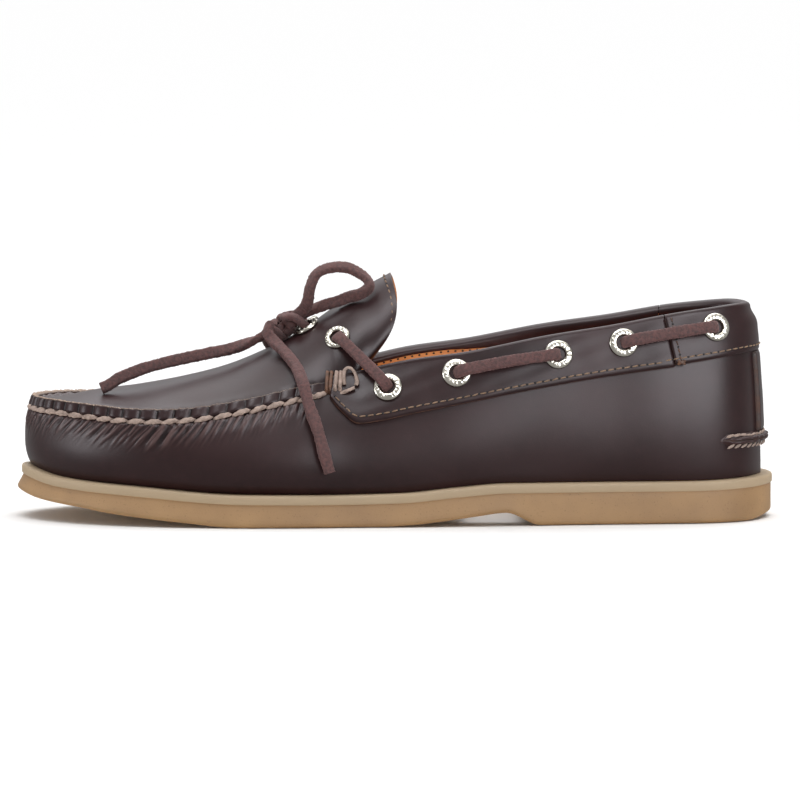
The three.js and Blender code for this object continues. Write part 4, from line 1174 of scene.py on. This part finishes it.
# Lining: the inside of the wall, and the insole as a soft pad
def makeLining():
    q = np.arange(ringCount * 10) / 10
    v = np.linspace(-0.02, 0.985, 18)
    qGrid, vGrid = np.meshgrid(q, v, indexing="ij")
    vGrid = np.where(np.abs(qGrid - toeSection) < 7.7, vGrid * 0.94, vGrid)
    points = wallOffset(qGrid, vGrid, np.full(qGrid.shape, -last["wall"] - 0.05))
    faces = gridFaces(len(q), len(v), closedRows=True)
    addMesh("wall_lining", points.reshape(-1, 3), faces, liningLeather)


def makeInsole():
    count = ringCount * 8
    q = np.arange(count) / 8
    edge = featherPoint(q, last["wall"] + 0.5)
    half = count // 2
    s = np.linspace(0, 1, 25)
    outer, inner = edge[: half + 1], edge[-np.arange(half + 1) % count]
    xy = outer[:, None] + (inner - outer)[:, None] * s[None, :, None]
    crown = 0.35 * waves(xy[..., 0], xy[..., 1], 50, seed=61) - 1.2 * (1 - (2 * s[None, :] - 1) ** 2)
    z = soleTop(xy[..., 0]) + last["clearance"] + 3 + crown * smooth(np.minimum(s, 1 - s) * 8)[None, :]
    points = np.concatenate([xy, z[..., None]], -1)
    piece = addMesh("insole_pad", points.reshape(-1, 3), gridFaces(half + 1, 25), liningLeather)
    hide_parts("insole")


makeLining()
makeInsole()
print("lining made")


# Places on the wall as a frame of three axes: along, across and out
def wallAxes(q, v, tilt=0.0):
    normal = wallNormal(q, v)
    along = unit(wallPoint(q - 0.01, v) - wallPoint(q + 0.01, v))
    across = np.cross(normal, along)
    turned = along * np.cos(tilt)[..., None] + across * np.sin(tilt)[..., None]
    return np.stack([turned, np.cross(normal, turned), normal], -1)


def makeToeStitches():
    q = sectionOfRun(stitchRun)
    isIn = seamFade(q) > 0.05
    q, run = q[isIn], stitchRun[isIn]
    v = heightShare(q, stitchHeight(q))
    draw = np.random.default_rng(77)
    tilt = np.interp(run, [-150, -40, 0, 40, 70, 150], [-0.22, -0.12, 0.02, 0.06, 0.14, 0.22]) + draw.normal(0, 0.035, len(q))
    places = wallOffset(q, v, np.full(len(q), 0.55)) + np.column_stack([np.zeros(len(q))] * 2 + [draw.normal(0, 0.12, len(q))])
    template, faces = strandShape(8.0, 2.15, 2.0, twist=1.4, ply=0.12)
    scatter("toe_stitches", template, faces, places, wallAxes(q, v, tilt), creamThread)


makeToeStitches()


# A row of machine stitches: dashes of thread, with a needle hole between each two, drawn as a dark disc of painted
# shade
def makeStitchRow(name, points, normals, spacing, length, thread, width=0.55, lift=0.16, holes=True, seed=9, lean=0.07):
    run = np.concatenate([[0], np.cumsum(np.linalg.norm(np.diff(points, axis=0), axis=1))])
    at = np.arange(spacing / 2, run[-1], spacing)
    draw = np.random.default_rng(seed)

    def along(shift):
        where = np.clip(at + shift, 0, run[-1])
        return np.column_stack([np.interp(where, run, points[:, k]) for k in range(3)])

    normal = unit(np.column_stack([np.interp(at, run, normals[:, k]) for k in range(3)]))
    tangent = unit(along(0.8) - along(-0.8))
    tangent = unit(tangent - normal * np.sum(tangent * normal, 1, keepdims=True))
    side = np.cross(normal, tangent)
    turn = draw.normal(0, 0.05, len(at))[:, None] + lean
    turned = tangent * np.cos(turn) + side * np.sin(turn)
    axes = np.stack([turned, np.cross(normal, turned), normal], -1)
    template, faces = strandShape(length, width, 0.6, rings=9, around=8, ply=0.15)
    scatter(name, template, faces, along(0) + normal * lift, axes, thread)
    if holes:
        disc, discFaces = strandShape(1.0, 1.0, 0.34, rings=7, around=8, ply=0)
        scatter(name + "_holes", disc, discFaces, along(spacing / 2) + normal * 0.02, axes, holeShade)


def bandRow(name, start, end, rows, up, offset, spacing, length, thread, seed=9, width=0.55):
    q = np.linspace(start, end, 400)
    x = wallPoint(q, 0.8)[..., 0]
    v = heightShare(q, bandEdge(rows)(x) + up)
    makeStitchRow(name, wallOffset(q, v, np.full(len(q), offset)), wallNormal(q, v), spacing, length, thread, width, seed=seed)


bandTop = last["clearance"] + last["band"]
bandRow("stitches_collar_outer", bandBack + 0.03, bandFront - 0.1, bandLow, 2.2, bandTop, 3.2, 2.75, tanThread)
bandRow("stitches_collar_inner", ringCount - bandFront + 0.1, ringCount - bandBack - 0.03, bandLow, 2.2, bandTop, 3.2, 2.75, tanThread, 10)
bandRow("stitches_collar_heel", -heelEnd + 0.05, heelEnd - 0.05, heelBandLow, 2.2, bandTop, 3.2, 2.75, tanThread, 11)


def makeTongueStitches():
    w = np.concatenate([np.full(60, -1.0), np.linspace(-1, 1, 240), np.full(60, 1.0)])
    u = np.concatenate([np.linspace(sewnLast + 0.1, apronLast, 60), np.full(240, apronLast), np.linspace(apronLast, sewnLast + 0.1, 60)])
    inset = 2.7
    raw = apronPoint(u, w)
    point = apronPoint(np.minimum(u, apronLast - 0.2), w * 0.94)
    # move inwards from the free edge by the inset, along the surface
    inward = unit(apronPoint(np.clip(u - 0.4, 0, apronLast), w * 0.8) - raw)
    normal = apronNormal(np.clip(u, 0, apronLast - 0.05), w * 0.96)
    line = raw + inward * inset
    line = line + normal * np.sum((point - line) * normal, 1, keepdims=True) * 0.15
    makeStitchRow("stitches_tongue", line, normal, 3.3, 2.3, tanThread, seed=15)


makeTongueStitches()


def makeHeelStitches():
    half, low = bandLook["seamFront"], bandLook["seamLow"] * last["collarHeight"]
    q = np.linspace(-half + 0.05, half - 0.05, 300)
    for name, height, seed in (("heel_stitches_high", 4.1, 22), ("heel_stitches_low", 0.1, 23)):
        v = heightShare(q, low + height + 0.15 * waves(q * 12, 0 * q, 9, seed=seed))
        line, normal = wallOffset(q, v, np.full(len(q), 1.5)), wallNormal(q, v)
        turn = 0.1 if height > 2 else 0.42
        makeStitchRow(name, line, normal, 3.4, 4.1, creamThread, 1.15, 0.25, False, seed, turn)


makeHeelStitches()


# Thick thread ends: round strands along short routes, as one mesh
def makeStrands(name, routes, size, thread, seed):
    grids = []
    for k, route in enumerate(routes):
        face = np.tile([0.3, 0.2, 1.0], (len(route), 1))
        grids.append(thong(np.array(route), face, size, size * 0.8, step=0.3, around=12, fuzz=0.05, seed=seed + k)[1])
    return addThong(name, grids, thread)


def onWall(x, z, out, isInner=False):
    q = sectionAt(np.array([x]), lambda q: np.full(np.shape(q), z), 2.0, 16.0, isInner)
    return wallOffset(q, heightShare(q, z), np.array([out]))[0]


# The toe seam ends in a few tight turns over the ridge and a slack one beside the band
def seamEnd(side):
    isInner = side > 0

    def turn(x, lean, out=2.3):
        low = onWall(x - lean, 51.4, 0.6, isInner)
        rows = [low - (0, -side * -0.4, 0.6), onWall(x - lean, 52.2, out - 0.4, isInner), onWall(x - 0.5 * lean, 54.6, out, isInner)]
        rows.append(onWall(x, 57.2, out - 0.2, isInner))
        top = onWall(x, 57.2, 0, isInner)
        rows += [top + (0.2, side * -0.2, 2.0), top + (0.4, -side * 2.6, 1.6), top + (0.5, -side * 3.6, -1.2)]
        return np.array(rows)

    rust = [turn(-26.2, 0.3, 2.0), turn(-24.6, 0.5, 2.2)]
    pale = [turn(-22.6, 0.5, 2.9), turn(-20.9, 0.3, 3.0)]
    loop = np.array([
        onWall(-19.4, 53.4, 2.4, isInner), onWall(-19.6, 56.4, 2.9, isInner) + (0, 0, 0.9), onWall(-18.6, 56.5, 2.2, isInner) + (0, 0, 3.2),
        onWall(-16.6, 56.4, 2, isInner) + (0, 0, 3.4), onWall(-14.8, 56, 2.6, isInner) + (0, 0, 1.2), onWall(-14.2, 54.4, 3.1, isInner),
        onWall(-14.6, 53, 2.9, isInner),
    ])
    low = np.array([onWall(-21, 50.6, 1.0, isInner), onWall(-18.4, 51, 2.7, isInner), onWall(-15.2, 52.2, 2.9, isInner)])
    return rust, [*pale, loop, low]


for side, label in ((-1, "outer"), (1, "inner")):
    rust, pale = seamEnd(side)
    makeStrands(f"seam_end_rust_{label}", rust, 1.3, rustThread, 81)
    makeStrands(f"seam_end_pale_{label}", pale, 1.5, creamThread, 85)


# Upright row on the heel piece beside its joint, ending in a small knot
def makeUprightRow(name, start, isInner):
    share = np.linspace(0.03, 0.97, 60)
    side = 1 if isInner else -1
    q = start + side * (0.12 + bandLook["slant"] * (1 - share))
    low = heightShare(q, bandEdge(heelBandLow)(wallPoint(q, 0.8)[..., 0]))
    v = low + (1 - low) * share
    line, normal = wallOffset(q, v, np.full(len(q), bandTop)), wallNormal(q, v)
    makeStitchRow(name, line, normal, 3.1, 2.3, rustThread, seed=27)
    foot, out, along = line[0], normal[0], unit(line[-1] - line[0])
    side = np.cross(out, along)
    routes = [np.array([foot + side * a + along * b + out * c for a, b, c in rows]) for rows in (
        [(-1.3, 0.3, -0.2), (-0.7, 0.2, 0.7), (0.5, -0.1, 0.8), (1.5, -0.4, -0.1)],
        [(-0.9, -0.7, -0.2), (-0.2, -0.5, 0.7), (0.6, 0.2, 0.7), (1.1, 0.7, 0)],
    )]
    makeStrands(name + "_knot", routes, 1.2, rustThread, 29)


makeUprightRow("stitches_joint_outer", heelEnd, False)
makeUprightRow("stitches_joint_inner", ringCount - heelEnd, True)


# Needle holes of the collar's rows, seen on the lining just below the facing, drawn as dark discs of painted shade
def makeFacingHoles():
    q = np.linspace(-9.3, 9.3, 4000)
    drop = (facingDepth(q) + 0.9) / (topHeight(q) - wallBottom(q))
    line = wallOffset(q, 1 - drop, np.full(len(q), -last["wall"] - 0.1))
    run = np.concatenate([[0], np.cumsum(np.linalg.norm(np.diff(line, axis=0), axis=1))])
    at = np.interp(np.arange(1, run[-1], 2.9), run, q)
    drop = (facingDepth(at) + 0.9) / (topHeight(at) - wallBottom(at))
    places = wallOffset(at, 1 - drop, np.full(len(at), -last["wall"] - 0.12))
    disc, discFaces = strandShape(1.0, 0.8, 0.3, rings=7, around=8, ply=0)
    scatter("facing_holes", disc, discFaces, places, wallAxes(at, 1 - drop), holeShade)


makeFacingHoles()
print("stitches made")


# Eyelets: turned flange with small raised marks round it
eyeletLook = {"hole": 2.8, "marks": 17, "markHeight": 0.24, "height": 1.2}


def makeEyelet(name, node, point, normal, diameter, look=eyeletLook):
    outer, hole = diameter / 2, look["hole"]
    rise = last["clearance"] + look["height"]
    profile = np.array([
        (hole + 0.1, -3), (hole - 0.1, -0.6), (hole - 0.1, rise - 0.9), (hole, rise - 0.35), (hole + 0.3, rise - 0.05), (hole + 0.7, rise),
        (hole + 1.0, rise - 0.02), (hole + 1.3, rise - 0.05), (hole + 1.6, rise - 0.09), (hole + 1.9, rise - 0.14),
        (outer - 0.7, rise - 0.2), (outer - 0.4, rise - 0.32), (outer - 0.15, rise - 0.58), (outer, rise - 0.9), (outer - 0.05, 0.0),
        (outer - 0.3, -0.1),
    ])
    around = 144
    angle = np.linspace(0, 2 * math.pi, around, endpoint=False)
    draw = np.random.default_rng(len(node) * 7 + int(diameter * 10))
    phase = angle * look["marks"] / (2 * math.pi)
    wide = draw.uniform(0.28, 0.62, look["marks"])
    inBar = (np.abs((phase % 1) - 0.5) < wide[phase.astype(int) % look["marks"]] / 2).astype(float)
    inBar = inBar * (0.6 + 0.4 * np.sin(phase * 2.3))
    band = np.zeros(len(profile))
    band[6:10] = (0.7, 1, 1, 0.7)
    first = unit(np.cross(normal, (0.1, 0.2, 1.0)))
    second = np.cross(normal, first)
    radius = profile[:, 0][None, :] + 0 * angle[:, None]
    height = profile[:, 1][None, :] + look["markHeight"] * inBar[:, None] * band[None, :]
    grid = point + first * (radius * np.cos(angle)[:, None])[..., None] + second * (radius * np.sin(angle)[:, None])[..., None]
    grid = grid + normal * height[..., None]
    piece = addMesh(name, grid.reshape(-1, 3), gridFaces(around, len(profile), closedRows=True, flip=True), nickel)
    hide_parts(node)


collarEyelets = [(-0.007, 0.62), (0.082, 0.687), (0.2148, 0.771), (0.3007, 0.822), (0.4205, 0.885)]
tongueEyelets = [(8.14, 0.58), (7.38, 0.15)]


def collarSpot(along, height, isOuter):
    z = height * last["collarHeight"]
    q = sectionAt(np.array([along * last["soleLength"]]), lambda q: np.full(np.shape(q), z), 2.0, 10.0, not isOuter)
    v = heightShare(q, z)
    normal = wallNormal(q, v)[0]
    return wallPoint(q, v)[0] + normal * bandTop, normal


def tongueSpot(row, across, isOuter):
    u, w = np.array([row]), np.array([-across if isOuter else across])
    return apronPoint(u, w)[0], apronNormal(u, w)[0]


spots = {}
for isOuter, side in ((True, "outer"), (False, "inner")):
    spots[side] = {
        "collar": [collarSpot(along, height, isOuter) for along, height in collarEyelets],
        "tongue": [tongueSpot(row, across, isOuter) for row, across in tongueEyelets],
    }
    for k, (point, normal) in enumerate(spots[side]["collar"]):
        makeEyelet(f"collar_ring_{side}_{k + 1}", f"eyelet_{side}_{k + 1}", point, normal, 11.3)
    for k, (point, normal) in enumerate(spots[side]["tongue"]):
        makeEyelet(f"tongue_ring_{side}_{k + 1}", f"tongue_eyelet_{side}_{k + 1}", point, normal, 10.3)
print("eyelets made")


# Lace over the leather: out of one eyelet, over its flange and into the next
def barRoute(start, end, arch=1.2):
    rise = last["clearance"] + eyeletLook["height"]

    def climb(spot, other):
        point, normal = spot
        side = other - point
        side = unit(side - normal * (side @ normal))
        top = rise + 1.75
        return [
            (point - normal * 3.2 - side * 0.2, side * 1.0), (point - normal * 0.6 + side * 0.1, side * 1.0),
            (point + normal * (0.62 * top) + side * 1.1, side * 0.6 + normal * 0.6),
            (point + normal * (0.95 * top) + side * 3.2, side * 0.2 + normal), (point + normal * top + side * 6.2, normal),
        ]

    first, second = climb(start, end[0]), climb(end, start[0])[::-1]
    normal = unit(start[1] + end[1])
    middle = (start[0] + end[0]) / 2 + normal * (rise + 1.75 + arch)
    rows = [*first, (middle, normal), *[(p, f * np.array([1, 1, 1])) for p, f in second]]
    route = np.array([r[0] for r in rows])
    face = np.array([r[1] for r in rows])
    # in the holes the flat side looks back along the lace
    back = unit(start[0] - end[0])
    for k, (level, up) in enumerate(zip((1.0, 1.0, 0.6, 0.2, 0), (0, 0, 0.6, 1, 1))):
        face[k] = back * level + start[1] * up
        face[-1 - k] = -back * level + end[1] * up
    return route, face


for side in ("outer", "inner"):
    collar, tongue = spots[side]["collar"], spots[side]["tongue"]
    runs = [(tongue[0], collar[0], 1.0), (collar[1], collar[2], 1.6), (collar[3], collar[4], 1.4)]
    for k, (start, end, arch) in enumerate(runs):
        route, face = barRoute(start, end, arch)
        centre, grid = thong(route, face, laceLook["width"], 2.7, fuzz=laceLook["fuzz"], seed=31 + k + 10 * (side == "inner"))
        piece = addThong(f"lace_run_{side}_{k + 1}", [grid], suedeLace)
        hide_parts(f"lace_bar_{side}_{k + 1}")

# Leads from the tongue's front eyelets into the knot
knotMiddle = np.array([-43, -3, 75.2])
for side, sign in (("outer", -1), ("inner", 1)):
    point, normal = spots[side]["tongue"][1]
    end = knotMiddle + np.array([-1.0, sign * 4.4, 3.2])
    route = np.array([
        point - normal * 2.5, point + normal * 0.8, point + normal * 3.2 + np.array([-1.5, sign * 0.5, 0.4]),
        (point + normal * 4.0) * 0.45 + end * 0.55 + np.array([0, 0, 0.9]), end,
    ])
    face = np.array([(1, 0, 0.3), (1, 0, 0.5), (0.6, sign * 0.4, 1), (0, sign * 0.3, 1), (-0.6, sign * 0.3, 1)])
    centre, grid = thong(route, face, laceLook["width"], 2.7, fuzz=laceLook["fuzz"], seed=51 + sign)
    piece = addThong(f"lace_lead_in_{side}", [grid], suedeLace)
    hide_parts(f"lace_lead_{side}")


# Knot: two wraps round each other, pulled tight
def makeKnot():
    tilt = 0.61
    c, s = math.cos(tilt), math.sin(tilt)
    # local axes: along the lace's own line in the XZ plane, side along Y, and up
    axisX, axisY, axisZ = np.array([c, 0, s]), np.array([0, 1.0, 0]), np.array([-s, 0, c])

    def put(rows):
        rows = np.asarray(rows, float)
        return knotMiddle + rows[:, :1] * axisX + rows[:, 1:2] * axisY + rows[:, 2:] * axisZ

    angle = np.linspace(0.2 * math.pi, 2.35 * math.pi, 15)
    wrap = np.column_stack([-4.8 + 1.4 * np.sin(angle * 0.5), -3.9 * np.cos(angle), 3.6 * np.sin(angle)])
    wrapFace = np.column_stack([0 * angle, -np.cos(angle), np.sin(angle)])
    angle2 = np.linspace(-0.2 * math.pi, 1.9 * math.pi, 15)
    second = np.column_stack([1.2 + 1.3 * np.cos(angle2 * 0.5), -3.4 * np.cos(angle2), 3.2 * np.sin(angle2)])
    secondFace = np.column_stack([0.1 + 0 * angle2, -np.cos(angle2), np.sin(angle2)])
    core = np.array([(-6, -2.5, -1.5), (-3, -1, 0), (0, 0.5, 0.6), (3, 0, 0.4), (6.5, -1.4, 1.5)])
    coreFace = np.tile([0.0, 0.2, 1.0], (5, 1))
    grids = []
    for rows, face, wide, seed in ((wrap, wrapFace, 4.6, 61), (second, secondFace, 4.4, 62), (core, coreFace, 4.6, 63)):
        direction = face[:, :1] * axisX + face[:, 1:2] * axisY + face[:, 2:] * axisZ
        grids.append(thong(put(rows), direction, wide, 2.7, fuzz=laceLook["fuzz"], seed=seed)[1])
    piece = addThong("lace_knot_wraps", grids, suedeLace)
    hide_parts("lace_knot")


makeKnot()
print("lace made")

# Studio: pale floor, soft lights
studio = {"world": 0.5, "floor": (0.95, 0.95, 0.95, 1)}


def makeFloor(look):
    mesh = bpy.data.meshes.new("floor")
    mesh.from_pydata([(-30, -20, -0.0002), (30, -20, -0.0002), (30, 40, -0.0002), (-30, 40, -0.0002)], [], [(0, 1, 2, 3)])
    floor = bpy.data.objects.new("floor", mesh)
    bpy.context.scene.collection.objects.link(floor)
    material, tree, surface = newMaterial("paleFloor", Roughness=0.75, Specular_IOR_Level=0.2)
    surface.inputs["Base Color"].default_value = look["floor"]
    mesh.materials.append(material)
    floor.visible_glossy = False


def makeLight(name, place, aim, size, power, isShineOnly=False):
    light = bpy.data.lights.new(name, "AREA")
    light.shape = "RECTANGLE"
    light.size, light.size_y = size
    light.energy = power
    light.color = (0.94, 0.96, 1) if isShineOnly else (1, 1, 1)
    holder = bpy.data.objects.new(name, light)
    bpy.context.scene.collection.objects.link(holder)
    holder.visible_diffuse = not isShineOnly
    holder.visible_camera = False
    holder.location = place
    direction = np.array(aim, float) - np.array(place, float)
    flat = math.hypot(direction[0], direction[1])
    holder.rotation_euler = (math.pi / 2 + math.atan2(direction[2], flat), 0, math.atan2(direction[1], direction[0]) - math.pi / 2)


def makeSun(power, size, tilt):
    light = bpy.data.lights.new("evenLight", "SUN")
    light.energy = power
    light.angle = math.radians(size)
    holder = bpy.data.objects.new("evenLight", light)
    bpy.context.scene.collection.objects.link(holder)
    holder.rotation_euler = tilt


makeFloor(studio)
world = bpy.data.worlds.new("studio")
bpy.context.scene.world = world
world.use_nodes = True
world.node_tree.nodes["Background"].inputs["Color"].default_value = (1, 1, 1, 1)
world.node_tree.nodes["Background"].inputs["Strength"].default_value = studio["world"]
makeSun(1.9, 60, (math.radians(-18), math.radians(10), 0))
makeLight("overheadSoftbox", (-0.1, -0.25, 1.1), (0, 0, 0.03), (1.4, 0.8), 5)
makeLight("insideLight", (0.01, -0.012, 0.064), (0.01, 0.04, 0.058), (0.05, 0.008), 0.012)
makeLight("archLight", (0.038, 0, 0.003), (0.038, 0.0001, -1), (0.022, 0.06), 0.0018)
# reflected only, so that they shape the leather's shine and leave the rest even
makeLight("heelSoftbox", (0.4, -0.5, 0.24), (0.08, 0, 0.05), (0.5, 0.32), 4.6, True)
makeLight("toeSoftbox", (-0.72, -0.2, 0.14), (-0.12, -0.02, 0.03), (0.32, 0.26), 2.4, True)
makeLight("backSoftbox", (-0.3, 1.1, 1.1), (0, 0, 0.05), (1.8, 1.1), 10, True)
makeLight("highSoftbox", (-0.25, -0.5, 1.1), (0, 0, 0.07), (0.5, 0.4), 7, True)
bpy.context.scene.view_settings.view_transform = "Standard"
print("studio made")
